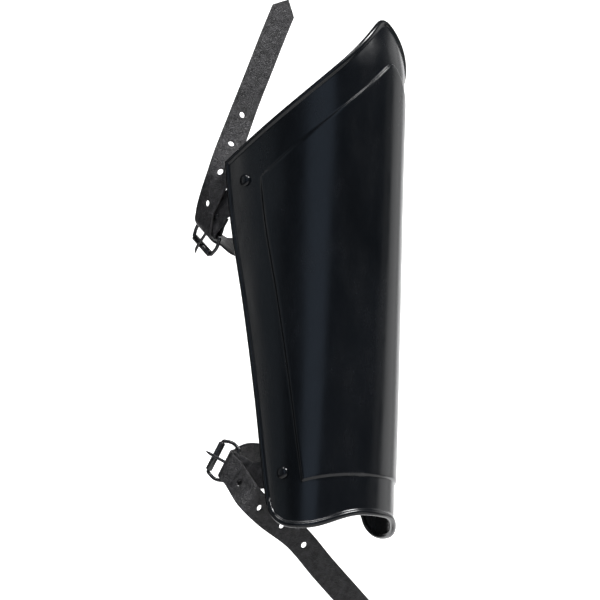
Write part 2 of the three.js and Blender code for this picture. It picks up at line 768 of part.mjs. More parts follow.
function prongSlot(frame) {
  const wide = 2 * (PRONG_RADIUS + 2 * SEAT_GAP);
  const reach = FOLD_RADIUS + STRAP_THICKNESS;
  const geometry = new THREE.BoxGeometry(wide, 2 * reach, 2 * reach);
  geometry.applyMatrix4(new THREE.Matrix4().makeBasis(frame.across, frame.out, frame.ahead));
  const seat = frame.at(reach / 4, 0);
  geometry.translate(seat.x, seat.y, seat.z);
  return geometry;
}

function buckleStrapGeometry(frame, rivetZ) {
  const samples = buckleStrapSamples(frame, rivetZ);
  const band = bandMesh(samples.map((sample) => bandRow(sample, STRAP_WIDTH / 2)));
  const { seat, axis } = rivetSeat(NEAR, rivetZ);
  const foldSeat = frame.at(-FOLD_RIVET_FROM_BAR, 0);
  return cutGeometry(band, [
    drill(seat, axis, RIVET_SHANK_RADIUS + SEAT_GAP, 3 * CLEAR_INSIDE),
    drill(foldSeat, frame.out, FOLD_RIVET_RADIUS + SEAT_GAP, TURN_RADIUS + STRAP_THICKNESS),
    prongSlot(frame),
  ]);
}

function foldRivetGeometry(frame) {
  const face = FOLD_PINCH + STRAP_THICKNESS / 2 + SEAT_GAP;
  const head = face + FOLD_RIVET_HEAD_HEIGHT;
  const rows = [
    [0, -head],
    [FOLD_RIVET_HEAD_RADIUS * 0.7, -head],
    [FOLD_RIVET_HEAD_RADIUS, -face],
    [FOLD_RIVET_RADIUS, -face],
    [FOLD_RIVET_RADIUS, face],
    [FOLD_RIVET_HEAD_RADIUS, face],
    [FOLD_RIVET_HEAD_RADIUS * 0.7, head],
    [0, head],
  ];
  return turned(rows, frame.at(-FOLD_RIVET_FROM_BAR, 0), frame.out, 12);
}

// The long strap comes straight out through the buckle's window and turns back over the heel
// bar at an angle. A place on it is given by its distance along and across the strap from
// the middle of the window.
function foldPlace(frame, foldAngle, along, acrossBy) {
  const angle = THREE.MathUtils.degToRad(foldAngle);
  const round = along * Math.cos(angle) - acrossBy * Math.sin(angle);
  const beside = along * Math.sin(angle) + acrossBy * Math.cos(angle);
  const turn = THREE.MathUtils.clamp(round / TURN_RADIUS, 0, RIGHT_ANGLE);
  const beyond = Math.max(0, round - RIGHT_ANGLE * TURN_RADIUS);
  const inward = Math.min(0, round);
  const aheadBy = TURN_RADIUS * Math.cos(turn) - beyond;
  const point = frame.at(aheadBy, TURN_RADIUS * Math.sin(turn) + inward, -beside);
  const face = frame.at(Math.cos(turn), Math.sin(turn)).sub(frame.origin);
  return { point, face };
}

// Lengths of strap from the middle of the window to where its whole width runs straight
function windowReach(foldAngle) {
  const angle = THREE.MathUtils.degToRad(foldAngle);
  return (STRAP_WIDTH / 2) * Math.abs(Math.tan(angle)) + SEAT_GAP;
}

function foldReach(foldAngle) {
  const angle = THREE.MathUtils.degToRad(foldAngle);
  return (RIGHT_ANGLE * TURN_RADIUS) / Math.cos(angle) + windowReach(foldAngle);
}

function foldStation(frame, foldAngle, along) {
  const { point } = foldPlace(frame, foldAngle, along, 0);
  const width = foldPlace(frame, foldAngle, along, 1).point.sub(point);
  return { point, width };
}

// Routes behind the opening, from the far wing to the near buckle. Across is a share of the
// half width, behind and drop are shares of the way from the far back edge to the buckle,
// and twist is how far the strap's width has turned to the buckle's.
const UPPER_CHORD = [
  { across: 0.8, behind: 0.42, drop: 0.26, twist: 0.1 },
  { across: 0.35, behind: 0.66, drop: 0.64, twist: 0.25 },
  { across: -0.2, behind: 0.82, drop: 1.02, twist: 0.4 },
  { across: -0.62, behind: 0.9, drop: 1.15, twist: 0.65 },
];
const LOWER_CHORD = [
  { across: 0.8, behind: 0.45, drop: 0.4, twist: 0.1 },
  { across: 0.3, behind: 0.8, drop: 0.95, twist: 0.4 },
  { across: -0.25, behind: 1.02, drop: 1.45, twist: 0.8 },
  { across: -0.7, behind: 1.08, drop: 1.5, twist: 1 },
];

// Free ends, from the buckle to the tip: places and width directions, the places as shares
// of the free length along X, Y and Z
const UPPER_FREE_ROUTE = [
  { x: -0.024, y: -0.067, z: 0.201, wx: -0.38, wy: 0.84, wz: 0.3 },
  { x: 0.04, y: -0.07, z: 0.334, wx: -0.8, wy: 0.5, wz: 0.27 },
  { x: 0.0995, y: -0.0845, z: 0.482, wx: -0.9, wy: 0.3, wz: 0.3 },
  { x: 0.161, y: -0.103, z: 0.634, wx: -0.9, wy: 0.3, wz: 0.3 },
  { x: 0.207, y: -0.116, z: 0.747, wx: -0.9, wy: 0.3, wz: 0.3 },
  { x: 0.269, y: -0.134, z: 0.892, wx: -0.9, wy: 0.3, wz: 0.3 },
];
const LOWER_FREE_ROUTE = [
  { x: -0.014, y: -0.094, z: -0.12, wx: 0.3, wy: -0.5, wz: 0.8 },
  { x: 0.075, y: -0.099, z: -0.177, wx: 0.42, wy: -0.45, wz: 0.78 },
  { x: 0.223, y: -0.112, z: -0.249, wx: 0.45, wy: -0.5, wz: 0.72 },
  { x: 0.357, y: -0.121, z: -0.352, wx: 0.45, wy: -0.5, wz: 0.72 },
  { x: 0.495, y: -0.13, z: -0.453, wx: 0.45, wy: -0.5, wz: 0.72 },
  { x: 0.71, y: -0.145, z: -0.61, wx: 0.45, wy: -0.5, wz: 0.72 },
];

// Share of the drop to the buckle that a long strap makes before it crosses its back edge
const FAR_EDGE_DROP = 0.25;

function farEdgeHeight(rivetZ, frame) {
  return rivetZ + (frame.origin.z - rivetZ) * FAR_EDGE_DROP;
}

function incomingStations({ frame, foldAngle, rivetZ, chord }) {
  const edgeZ = farEdgeHeight(rivetZ, frame);
  const stations = wingStations(FAR, rivetZ, edgeZ);
  const start = foldStation(frame, foldAngle, -windowReach(foldAngle) - STRAP_END_PAST_RIVET / 2);
  const reach = frame.origin.y - backLine(frame.origin.z);
  for (const { across, behind, drop, twist } of chord) {
    const z = edgeZ + (start.point.z - edgeZ) * drop;
    const point = new THREE.Vector3(across * halfWidth(z), backLine(z) + behind * reach, z);
    const width = stations[0].width.clone().lerp(start.width, twist);
    stations.push({ point, width });
  }
  stations.push(start);
  stations.push(foldStation(frame, foldAngle, -windowReach(foldAngle)));
  return stations;
}

function freeStations({ frame, foldAngle, route }) {
  const reach = foldReach(foldAngle);
  const stations = [foldStation(frame, foldAngle, reach)];
  stations.push(foldStation(frame, foldAngle, reach + 2 * STRAP_THICKNESS));
  for (const { x, y, z, wx, wy, wz } of route) {
    const point = frame.origin.clone()
      .add(new THREE.Vector3(x, y, z).multiplyScalar(STRAP_FREE_LENGTH));
    stations.push({ point, width: new THREE.Vector3(wx, wy, wz).normalize() });
  }
  return stations;
}

const FOLD_STEPS = 12;

function foldRows(frame, foldAngle) {
  const start = -windowReach(foldAngle);
  const length = foldReach(foldAngle) - start;
  const rows = [];
  for (let i = 1; i < FOLD_STEPS; i += 1) {
    const along = start + (length * i) / FOLD_STEPS;
    rows.push(Array.from({ length: BAND_CELLS + 1 }, (_, k) => (
      foldPlace(frame, foldAngle, along, (STRAP_WIDTH / 2) * ((2 * k) / BAND_CELLS - 1)))));
  }
  return rows;
}

// The pointed end: distances from the tip and widths there, as shares of its length and width
const TIP_ROWS = [
  { back: 1, width: 1 },
  { back: 0.45, width: 0.45 },
  { back: 0.12, width: 0.12 },
  { back: 0, width: 0.08 },
];

function tipRows(end) {
  return TIP_ROWS.map(({ back, width }) => {
    const point = end.point.clone().addScaledVector(end.along, -back * STRAP_TIP_LENGTH);
    return bandRow({ ...end, point }, (STRAP_WIDTH / 2) * width);
  });
}

// Punched holes at equal steps from the prong's hole
function holeCutters(strap, samples, lengths) {
  return Array.from({ length: STRAP_FREE_HOLES }, (_, i) => {
    const wanted = (i + 1) * STRAP_HOLE_PITCH - foldReach(strap.foldAngle);
    const index = Math.max(1, lengths.findIndex((length) => length > wanted));
    const { point, along, face } = samples[index];
    const seat = point.clone().addScaledVector(along, wanted - lengths[index]);
    return drill(seat, face, STRAP_HOLE_RADIUS, 2 * STRAP_THICKNESS);
  });
}

function longStrapGeometry(strap) {
  const { frame, foldAngle, rivetZ } = strap;
  const incoming = bandSamples(incomingStations(strap)).map((sample) => bandRow(sample, STRAP_WIDTH / 2));
  const samples = bandSamples(freeStations(strap));
  const lengths = bandLengths(samples);
  const total = lengths[lengths.length - 1];
  const body = samples.filter((_, i) => total - lengths[i] > STRAP_TIP_LENGTH + 1);
  const free = body.map((sample) => bandRow(sample, STRAP_WIDTH / 2));
  const tip = tipRows(samples[samples.length - 1]);
  const band = bandMesh([...incoming, ...foldRows(frame, foldAngle), ...free, ...tip]);
  const { seat, axis } = rivetSeat(FAR, rivetZ);
  return cutGeometry(band, [
    drill(seat, axis, RIVET_SHANK_RADIUS + SEAT_GAP, 3 * CLEAR_INSIDE),
    prongRod(frame, PRONG_RADIUS + 2 * SEAT_GAP, SEAT_GAP, ROLLER_DISTANCE),
    ...holeCutters(strap, samples, lengths),
  ]);
}

const greave = new THREE.Group();

function addPiece(name, geometry, finish) {
  const mesh = new THREE.Mesh(geometry, new THREE.MeshStandardMaterial(finish));
  mesh.name = name;
  greave.add(mesh);
}

const RIVETS = [
  { name: 'rivet_near_upper', side: NEAR, z: UPPER_RIVET_HEIGHT },
  { name: 'rivet_near_lower', side: NEAR, z: LOWER_RIVET_HEIGHT },
  { name: 'rivet_far_upper', side: FAR, z: UPPER_RIVET_HEIGHT },
  { name: 'rivet_far_lower', side: FAR, z: LOWER_RIVET_HEIGHT },
];

const STRAPS = [
  {
    level: 'upper',
    frame: UPPER_BUCKLE,
    rivetZ: UPPER_RIVET_HEIGHT,
    foldAngle: UPPER_FOLD_ANGLE,
    chord: UPPER_CHORD,
    route: UPPER_FREE_ROUTE,
  },
  {
    level: 'lower',
    frame: LOWER_BUCKLE,
    rivetZ: LOWER_RIVET_HEIGHT,
    foldAngle: LOWER_FOLD_ANGLE,
    chord: LOWER_CHORD,
    route: LOWER_FREE_ROUTE,
  },
];

const seats = RIVETS.map(({ side, z }) => rivetSeat(side, z));
const holes = seats.map(({ seat, axis }) => (
  drill(seat, axis, RIVET_SHANK_RADIUS + SEAT_GAP, 2 * EDGE_ROLL_RADIUS)));
addPiece('shell', cutGeometry(shellGeometry(), holes), BLACKENED_STEEL);
RIVETS.forEach(({ name }, i) => addPiece(name, rivetGeometry(seats[i]), BLACKENED_STEEL));

for (const strap of STRAPS) {
  const { level, frame, rivetZ } = strap;
  addPiece(`buckle_strap_${level}`, buckleStrapGeometry(frame, rivetZ), BLACK_LEATHER);
  addPiece(`fold_rivet_${level}`, foldRivetGeometry(frame), BUCKLE_STEEL);
  const loop = wireLoop(frame, buckleOutline(), BUCKLE_WIRE_RADIUS, 8);
  addPiece(`buckle_frame_${level}`, loop, BUCKLE_STEEL);
  addPiece(`buckle_roller_${level}`, rollerGeometry(frame), BUCKLE_STEEL);
  addPiece(`buckle_prong_${level}`, prongGeometry(frame), BUCKLE_STEEL);
  addPiece(`long_strap_${level}`, longStrapGeometry(strap), BLACK_LEATHER);
}

export default greave;
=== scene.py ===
import math

import bpy
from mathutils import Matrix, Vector


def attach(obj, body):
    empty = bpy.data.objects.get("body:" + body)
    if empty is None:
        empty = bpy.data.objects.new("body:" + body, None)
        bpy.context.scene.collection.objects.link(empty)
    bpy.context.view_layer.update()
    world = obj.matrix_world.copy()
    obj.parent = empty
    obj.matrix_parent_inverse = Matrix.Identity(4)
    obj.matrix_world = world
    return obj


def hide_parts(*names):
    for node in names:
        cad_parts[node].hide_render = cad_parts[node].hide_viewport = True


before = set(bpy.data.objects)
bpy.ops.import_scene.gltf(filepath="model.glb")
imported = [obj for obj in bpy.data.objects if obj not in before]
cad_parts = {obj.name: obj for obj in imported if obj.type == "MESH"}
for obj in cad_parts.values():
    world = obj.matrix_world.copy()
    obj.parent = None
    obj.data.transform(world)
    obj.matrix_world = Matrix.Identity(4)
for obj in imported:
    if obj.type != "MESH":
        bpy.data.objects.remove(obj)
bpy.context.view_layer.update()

MM = 0.001
RIGHT = math.pi / 2
NEAR, FAR = -1, 1

# Sizes of the part, in millimetres, as in the CAD
SEAT_GAP = 0.3
SHELL_HEIGHT = 416.5
FOOT_HALF_WIDTH = 57
KNEE_HALF_WIDTH = 67
FOOT_DEPTH = 60.5
KNEE_DEPTH = 125.5
SECTION_POWER = 2.1
FRONT_LEAN = 20.5
FRONT_BOW = 1.5
KNEE_NOD = 12
KNEE_NOD_HEIGHT = 46
KNEE_NOD_POWER = 1.5
SHEET = 1.2
EDGE_ROLL_RADIUS = 2.5
KNEE_RIM_DROP = 113
KNEE_POINT_ROUNDING = 3.5
FOOT_ARCH_RISE = 11.2
LOBE_FROM_BACK = 31
LOBE_CORNER_HEIGHT = 25
LOBE_CORNER_POWER = 2.5
ARCH_POWER = 1.7
PANEL_RAISE = 1.5
PANEL_STEP_WIDTH = 2.4
WING_BAND_WIDTH = 34
KNEE_BAND_HEIGHT = 40
FOOT_BAND_HEIGHT = 30.5
PANEL_KNEE_LIFT = 3
PANEL_FOOT_SAG = 7.2
PANEL_SAG_ANGLE = 1.17
PANEL_CORNER_FADE = 42
PANEL_CORNER_RAISE = 0.15
RIVET_FROM_BACK = 20
UPPER_RIVET_BELOW_KNEE = 131.75
LOWER_RIVET_ABOVE_FOOT = 44.75
UPPER_RIVET_HEIGHT = SHELL_HEIGHT / 2 - UPPER_RIVET_BELOW_KNEE
LOWER_RIVET_HEIGHT = LOWER_RIVET_ABOVE_FOOT - SHELL_HEIGHT / 2
RIVET_HEAD_RADIUS = 5
RIVET_HEAD_HEIGHT = 2.6
RIVET_HEAD_SKIRT = 0.4
RIVET_SHANK_RADIUS = 2
RIVET_BURR_RADIUS = 4
RIVET_BURR_HEIGHT = 1
RIVET_BURR_ROUND = 0.4
STRAP_WIDTH = 22
STRAP_THICKNESS = 2
STRAP_END_PAST_RIVET = 9
STRAP_TIP_LENGTH = 11
STRAP_HOLE_RADIUS = 2.6
STRAP_HOLE_PITCH = 28
STRAP_FREE_HOLES = 4
STRAP_FREE_LENGTH = 222
BUCKLE_WIRE_RADIUS = 1.5
BUCKLE_SIDE_PLAY = 1.9
BUCKLE_WINDOW = 7.2
BUCKLE_ARM_BOW = 1.6
ROLLER_RADIUS = 2.75
ROLLER_WALL = 0.9
ROLLER_END_ROUND = 0.35
PRONG_RADIUS = 1.25
PRONG_OVERHANG = 7.5
PRONG_TIP_BEND = 0.035
PRONG_TIP_TAPER = 0.45
FOLD_RIVET_FROM_BAR = 12
FOLD_PAST_RIVET = 4.4
FOLD_RIVET_RADIUS = 1.4
FOLD_RIVET_HEAD_RADIUS = 2.6
FOLD_RIVET_HEAD_HEIGHT = 1
UPPER_FOLD_ANGLE = 30
LOWER_FOLD_ANGLE = -15
UPPER_BAR_BELOW_RIVET = 33.5
LOWER_BAR_ABOVE_RIVET = 9.8

# Height share, then share of the way from the foot's depth to the knee's
DEPTH_PROFILE = [(0, 0.015), (0.1, 0.16), (0.27, 0.355), (0.44, 0.575), (0.61, 0.82),
                 (0.78, 0.97), (0.87, 1), (1, 1.02)]


def clamp01(value):
    return min(1.0, max(0.0, value))


def smooth_step(value):
    t = clamp01(value)
    return t * t * (3 - 2 * t)


def profile_depth(height):
    rows = DEPTH_PROFILE
    last = len(rows) - 1
    found = next((i for i, row in enumerate(rows) if row[0] > height), -1)
    upper = (1 if found == 0 else last) if found < 1 else found

    def slope(i):
        before, after = rows[max(0, i - 1)], rows[min(last, i + 1)]
        return (after[1] - before[1]) / (after[0] - before[0])

    a, b = rows[upper - 1], rows[upper]
    span = b[0] - a[0]
    t = clamp01((height - a[0]) / span)
    t2, t3 = t * t, t * t * t
    return ((2 * t3 - 3 * t2 + 1) * a[1] + (t3 - 2 * t2 + t) * span * slope(upper - 1)
            + (3 * t2 - 2 * t3) * b[1] + (t3 - t2) * span * slope(upper))


def height_share(z):
    return z / SHELL_HEIGHT + 0.5


def half_width(z):
    return FOOT_HALF_WIDTH + (KNEE_HALF_WIDTH - FOOT_HALF_WIDTH) * height_share(z)


def straight_front(z):
    share = height_share(z)
    bow = FRONT_BOW * (1 - 4 * share * (1 - share))
    return PANEL_RAISE - SHEET - FRONT_LEAN * (share - 0.5) + bow


def back_line(z):
    return straight_front(z) + FOOT_DEPTH + (KNEE_DEPTH - FOOT_DEPTH) * profile_depth(height_share(z))


def front_line(z):
    into = (z - SHELL_HEIGHT / 2) / KNEE_NOD_HEIGHT + 1
    return straight_front(z) + KNEE_NOD * max(0.0, into) ** KNEE_NOD_POWER


def face_point(angle, z):
    bend = 2 / SECTION_POWER
    turn = min(RIGHT, abs(angle))
    x = half_width(z) * math.sin(turn) ** bend * (1 if angle >= 0 else -1)
    back = back_line(z)
    return Vector((x, back - (back - front_line(z)) * max(0.0, math.cos(turn)) ** bend, z))


def face_normal(angle, z):
    step = 0.002
    held = max(step - RIGHT, min(RIGHT - step, angle))
    across = face_point(held + step, z) - face_point(held - step, z)
    up = face_point(held, z + 0.5) - face_point(held, z - 0.5)
    return across.cross(up).normalized()


def angle_from_back(distance, z):
    share = clamp01(distance / (back_line(z) - front_line(z)))
    return math.acos(share ** (SECTION_POWER / 2))


def rim_height(angle):
    slope = (KNEE_RIM_DROP + KNEE_POINT_ROUNDING) / RIGHT
    return SHELL_HEIGHT / 2 + KNEE_POINT_ROUNDING - math.hypot(angle * slope, KNEE_POINT_ROUNDING)


def knee_crease_height(angle):
    return rim_height(angle) - KNEE_BAND_HEIGHT + PANEL_KNEE_LIFT * smooth_step(abs(angle))


def foot_crease_height(angle):
    out = abs(angle) / PANEL_SAG_ANGLE
    return -SHELL_HEIGHT / 2 + FOOT_ARCH_RISE + FOOT_BAND_HEIGHT - PANEL_FOOT_SAG * out ** 3


def foot_height(angle, inset):
    bottom = -SHELL_HEIGHT / 2 + inset
    lobe_angle = angle_from_back(LOBE_FROM_BACK, -SHELL_HEIGHT / 2)
    turn = abs(angle)
    if turn < lobe_angle:
        swing = (1 - math.cos(math.pi * turn / lobe_angle)) / 2
        return bottom + FOOT_ARCH_RISE * (1 - swing ** ARCH_POWER)
    from_back = back_line(bottom) - face_point(turn, bottom).y
    out = clamp01((LOBE_FROM_BACK - from_back) / (LOBE_FROM_BACK - inset))
    curve = 1 - (1 - out ** LOBE_CORNER_POWER) ** (1 / LOBE_CORNER_POWER)
    return bottom + (LOBE_CORNER_HEIGHT - inset) * curve


def roll_reach():
    return EDGE_ROLL_RADIUS * (1 + math.cos(math.asin(SHEET / 2 / EDGE_ROLL_RADIUS)))


def spread(start, end, count):
    return [start + (end - start) * i / count for i in range(count)]


WING_CELLS, STEP_CELLS, PANEL_CELLS = 26, 6, 100
WING_CROWDING = 1.4
MEET_ROUNDS = 12
MITER_LIMIT = 0.6


def wall_columns():
    """Each column: wing share or None, share of the panel's width, share of the step, side."""
    wing = [((i / WING_CELLS) ** WING_CROWDING, 1.0, 0.0) for i in range(WING_CELLS + 1)]
    step = [(None, 1.0, i / STEP_CELLS) for i in range(1, STEP_CELLS)]
    near = [(*row, NEAR) for row in wing + step]
    far = [(*row, FAR) for row in wing + step]
    panel = []
    for i in range(PANEL_CELLS + 1):
        across = 2 * i / PANEL_CELLS - 1
        panel.append((None, abs(across), 1.0, FAR if across >= 0 else NEAR))
    return near + panel + far[::-1]


def column_angle(column, z):
    wing, across, step, side = column
    inset = roll_reach()
    if wing is not None:
        return side * angle_from_back(inset + wing * (WING_BAND_WIDTH - inset), z)
    return side * across * angle_from_back(WING_BAND_WIDTH + PANEL_STEP_WIDTH * step, z)


def meet_height(column, line):
    z = 0.0
    for _ in range(MEET_ROUNDS):
        z = line(column_angle(column, z))
    return z


def rim_inset(angle):
    """How far below the rim the wall ends, so that the rolled edge reaches it on a slope too."""
    reach = half_width(SHELL_HEIGHT / 2 - KNEE_RIM_DROP * abs(angle / RIGHT))
    slope = KNEE_RIM_DROP / RIGHT / (reach * (1 + abs(angle) * 0.5))
    return roll_reach() * math.hypot(1, slope)


FOOT_ROWS, PANEL_ROWS, KNEE_ROWS = 18, 120, 26


def column_rows(column):
    foot = meet_height(column, lambda angle: foot_height(angle, roll_reach()))
    foot_crease = meet_height(column, foot_crease_height)
    knee_crease = meet_height(column, knee_crease_height)
    rim = meet_height(column, lambda angle: rim_height(angle) - rim_inset(angle))
    foot_step = foot_crease + PANEL_STEP_WIDTH
    knee_step = knee_crease - PANEL_STEP_WIDTH
    return (spread(foot, foot_crease, FOOT_ROWS) + spread(foot_crease, foot_step, STEP_CELLS)
            + spread(foot_step, knee_step, PANEL_ROWS) + spread(knee_step, knee_crease, STEP_CELLS)
            + spread(knee_crease, rim, KNEE_ROWS) + [rim])


def row_raise(row):
    """Share of the panel's raise that each row has by itself."""
    first = FOOT_ROWS
    last = FOOT_ROWS + 2 * STEP_CELLS + PANEL_ROWS
    return smooth_step((row - first) / STEP_CELLS) * smooth_step((last - row) / STEP_CELLS)


def wall_grid():
    side_column = (1.0, 1.0, 0.0, FAR)
    side_rows = column_rows(side_column)
    side_shares = [(z - side_rows[0]) / (side_rows[-1] - side_rows[0]) for z in side_rows]
    corner_z = meet_height(side_column, knee_crease_height)
    corner = face_point(column_angle(side_column, corner_z), corner_z)
    grid = []
    for column in wall_columns():
        wing, _, step, side = column
        if wing is None:
            heights = column_rows(column)
        else:
            low = meet_height(column, lambda angle: foot_height(angle, roll_reach()))
            high = meet_height(column, lambda angle: rim_height(angle) - rim_inset(angle))
            heights = [low + (high - low) * share for share in side_shares]
        line = []
        for row, z in enumerate(heights):
            angle = column_angle(column, z)
            point, normal = face_point(angle, z), face_normal(angle, z)
            if wing is None:
                away = (point - Vector((corner.x * side, corner.y, corner.z))).length
                fade = smooth_step(away / PANEL_CORNER_FADE)
                fade = PANEL_CORNER_RAISE + (1 - PANEL_CORNER_RAISE) * fade
                point += normal * (PANEL_RAISE * fade * smooth_step(step) * row_raise(row))
            line.append((point, normal))
        grid.append(line)
    return grid


def border_loop(grid):
    """The grid's border in order, with the outward direction that each point's roll takes."""
    columns, rows = len(grid) - 1, len(grid[0]) - 1
    loop = [(c, 0) for c in range(columns)] + [(columns, r) for r in range(rows)]
    loop += [(c, rows) for c in range(columns, 0, -1)] + [(0, r) for r in range(rows, 0, -1)]
    places = []
    for i, (c, r) in enumerate(loop):
        point, normal = grid[c][r]
        c1, r1 = loop[(i + 1) % len(loop)]
        c0, r0 = loop[i - 1]
        ahead = (grid[c1][r1][0] - point).normalized()
        behind = (point - grid[c0][r0][0]).normalized()
        along = (ahead + behind).normalized()
        miter = 1 / max(MITER_LIMIT, along.dot(ahead))
        places.append((c, r, point, normal, along.cross(normal).normalized() * miter))
    return places


def make_mesh(name, points, faces, smooth=True):
    mesh = bpy.data.meshes.new(name)
    mesh.from_pydata([tuple(p * MM) for p in points], [], faces)
    mesh.validate()
    mesh.update()
    mesh.polygons.foreach_set("use_smooth", [smooth] * len(mesh.polygons))
    piece = bpy.data.objects.new(name, mesh)
    bpy.context.scene.collection.objects.link(piece)
    return piece


ROLL_FACETS = 18


def make_shell():
    grid = wall_grid()
    columns, rows = len(grid), len(grid[0])
    points, faces = [], []
    for line in grid:
        points += [p for p, _ in line]
    for line in grid:
        points += [p - n * SHEET for p, n in line]
    inner = columns * rows
    for c in range(columns - 1):
        for r in range(rows - 1):
            a, b = c * rows + r, (c + 1) * rows + r
            faces.append((a, b, b + 1, a + 1))
            faces.append((inner + a, inner + a + 1, inner + b + 1, inner + b))
    half = math.asin(SHEET / 2 / EDGE_ROLL_RADIUS)
    rings = []
    for c, r, point, normal, out in border_loop(grid):
        middle = point - normal * (SHEET / 2) + out * (EDGE_ROLL_RADIUS * math.cos(half))
        ring = [c * rows + r]
        for i in range(1, ROLL_FACETS):
            turn = math.pi - half - 2 * (math.pi - half) * i / ROLL_FACETS
            ring.append(len(points))
            points.append(middle + out * (EDGE_ROLL_RADIUS * math.cos(turn))
                          + normal * (EDGE_ROLL_RADIUS * math.sin(turn)))
        rings.append(ring + [inner + c * rows + r])
    for i, ring in enumerate(rings):
        following = rings[(i + 1) % len(rings)]
        for k in range(ROLL_FACETS):
            faces.append((ring[k], ring[k + 1], following[k + 1], following[k]))
    return make_mesh("shell_plate", points, faces)


def turned(name, rows, seat, axis, sides):
    """A body turned from rows of (radius, distance along the axis)."""
    spin = Vector((0, 0, 1)).rotation_difference(axis)
    points, faces, rings = [], [], []
    for radius, along in rows:
        if radius < 1e-6:
            rings.append([len(points)])
            points.append(seat + axis * along)
            continue
        ring = []
        for i in range(sides):
            turn = 2 * math.pi * i / sides
            ring.append(len(points))
            local = Vector((radius * math.cos(turn), radius * math.sin(turn), along))
            points.append(seat + spin @ local)
        rings.append(ring)
    for low, high in zip(rings, rings[1:]):
        for i in range(sides):
            j = (i + 1) % sides
            if len(low) == 1 and len(high) == 1:
                continue
            if len(low) == 1:
                faces.append((low[0], high[j], high[i]))
            elif len(high) == 1:
                faces.append((low[i], low[j], high[0]))
            else:
                faces.append((low[i], low[j], high[j], high[i]))
    return make_mesh(name, points, faces)


DOME_STEPS, DOME_FULLNESS, RIVET_SIDES = 12, 0.8, 48


def rivet_seat(side, z):
    angle = side * angle_from_back(RIVET_FROM_BACK, z)
    return face_point(angle, z), face_normal(angle, z)


def make_rivet(name, side, z):
    seat, axis = rivet_seat(side, z)
    tail = -(SHEET + 3 * SEAT_GAP + STRAP_THICKNESS)
    dome = []
    rise = RIVET_HEAD_HEIGHT - RIVET_HEAD_SKIRT
    for i in range(DOME_STEPS):
        turn = RIGHT * i / DOME_STEPS
        dome.append((RIVET_HEAD_RADIUS * math.cos(turn) ** DOME_FULLNESS,
                     SEAT_GAP + RIVET_HEAD_SKIRT + rise * math.sin(turn)))
    burr = tail - RIVET_BURR_HEIGHT
    rows = [(0, burr), (RIVET_BURR_RADIUS - RIVET_BURR_ROUND, burr),
            (RIVET_BURR_RADIUS, burr + RIVET_BURR_ROUND), (RIVET_BURR_RADIUS, tail),
            (RIVET_SHANK_RADIUS, tail), (RIVET_SHANK_RADIUS, SEAT_GAP / 3),
            (RIVET_HEAD_RADIUS - 0.2, SEAT_GAP / 3), (RIVET_HEAD_RADIUS, SEAT_GAP)]
    rows += dome + [(0, SEAT_GAP + RIVET_HEAD_HEIGHT)]
    return turned(name, rows, seat, axis, RIVET_SIDES)


FOLD_RADIUS = BUCKLE_WIRE_RADIUS + SEAT_GAP + STRAP_THICKNESS / 2
FOLD_PINCH = STRAP_THICKNESS / 2 + SEAT_GAP / 2
TURN_CLEARANCE = 0.9
TURN_RADIUS = FOLD_RADIUS + STRAP_THICKNESS + TURN_CLEARANCE
ROLLER_DISTANCE = TURN_RADIUS + STRAP_THICKNESS / 2 + BUCKLE_WINDOW + ROLLER_RADIUS
FRAME_HALF_WIDTH = STRAP_WIDTH / 2 + BUCKLE_SIDE_PLAY + BUCKLE_WIRE_RADIUS
SEAT_INSIDE = SHEET + SEAT_GAP + STRAP_THICKNESS / 2
CLEAR_INSIDE = SHEET / 2 + EDGE_ROLL_RADIUS + 2 * SEAT_GAP + STRAP_THICKNESS / 2


class Buckle:
    """A buckle's own frame at the middle of its heel bar; lengths in mm, angles in degrees."""

    def __init__(self, behind, outward, height, dip, turn):
        turn, dip = math.radians(turn), math.radians(dip)
        self.out = Vector((-math.cos(turn), -math.sin(turn), 0))
        level = Vector((-math.sin(turn), math.cos(turn), 0))
        self.ahead = level * math.cos(dip) + Vector((0, 0, -math.sin(dip)))
        self.across = self.out.cross(self.ahead)
        self.origin = Vector((-(half_width(height) + outward), back_line(height) + behind, height))

    def at(self, ahead, out, across=0.0):
        return self.origin + self.ahead * ahead + self.out * out + self.across * across


UPPER = Buckle(behind=26.2, outward=-5, height=UPPER_RIVET_HEIGHT - UPPER_BAR_BELOW_RIVET,
               dip=48, turn=-5)
LOWER = Buckle(behind=30, outward=2, height=LOWER_RIVET_HEIGHT + LOWER_BAR_ABOVE_RIVET,
               dip=-30, turn=18)


def sweep(name, centres, radius, sides, closed, face):
    """A round wire along a line of points that lies square to the way `face`."""
    points, faces = [], []
    count = len(centres)
    for i, here in enumerate(centres):
        before = centres[i - 1] if closed or i else here
        after = centres[(i + 1) % count] if closed or i + 1 < count else here
        along = (after - before).normalized()
        aside = along.cross(face).normalized()
        reach = radius(i / (count - 1)) if callable(radius) else radius
        for k in range(sides):
            turn = 2 * math.pi * k / sides
            points.append(here + aside * (reach * math.cos(turn)) + face * (reach * math.sin(turn)))
    spans = count if closed else count - 1
    for i in range(spans):
        a, b = i * sides, ((i + 1) % count) * sides
        for k in range(sides):
            k2 = (k + 1) % sides
            faces.append((a + k, a + k2, b + k2, b + k))
    if not closed:
        faces.append(tuple(range(sides))[::-1])
        faces.append(tuple((count - 1) * sides + k for k in range(sides)))
    return make_mesh(name, points, faces)


WIRE_SIDES = 16
CORNER_STEPS, ARM_STEPS = 8, 16


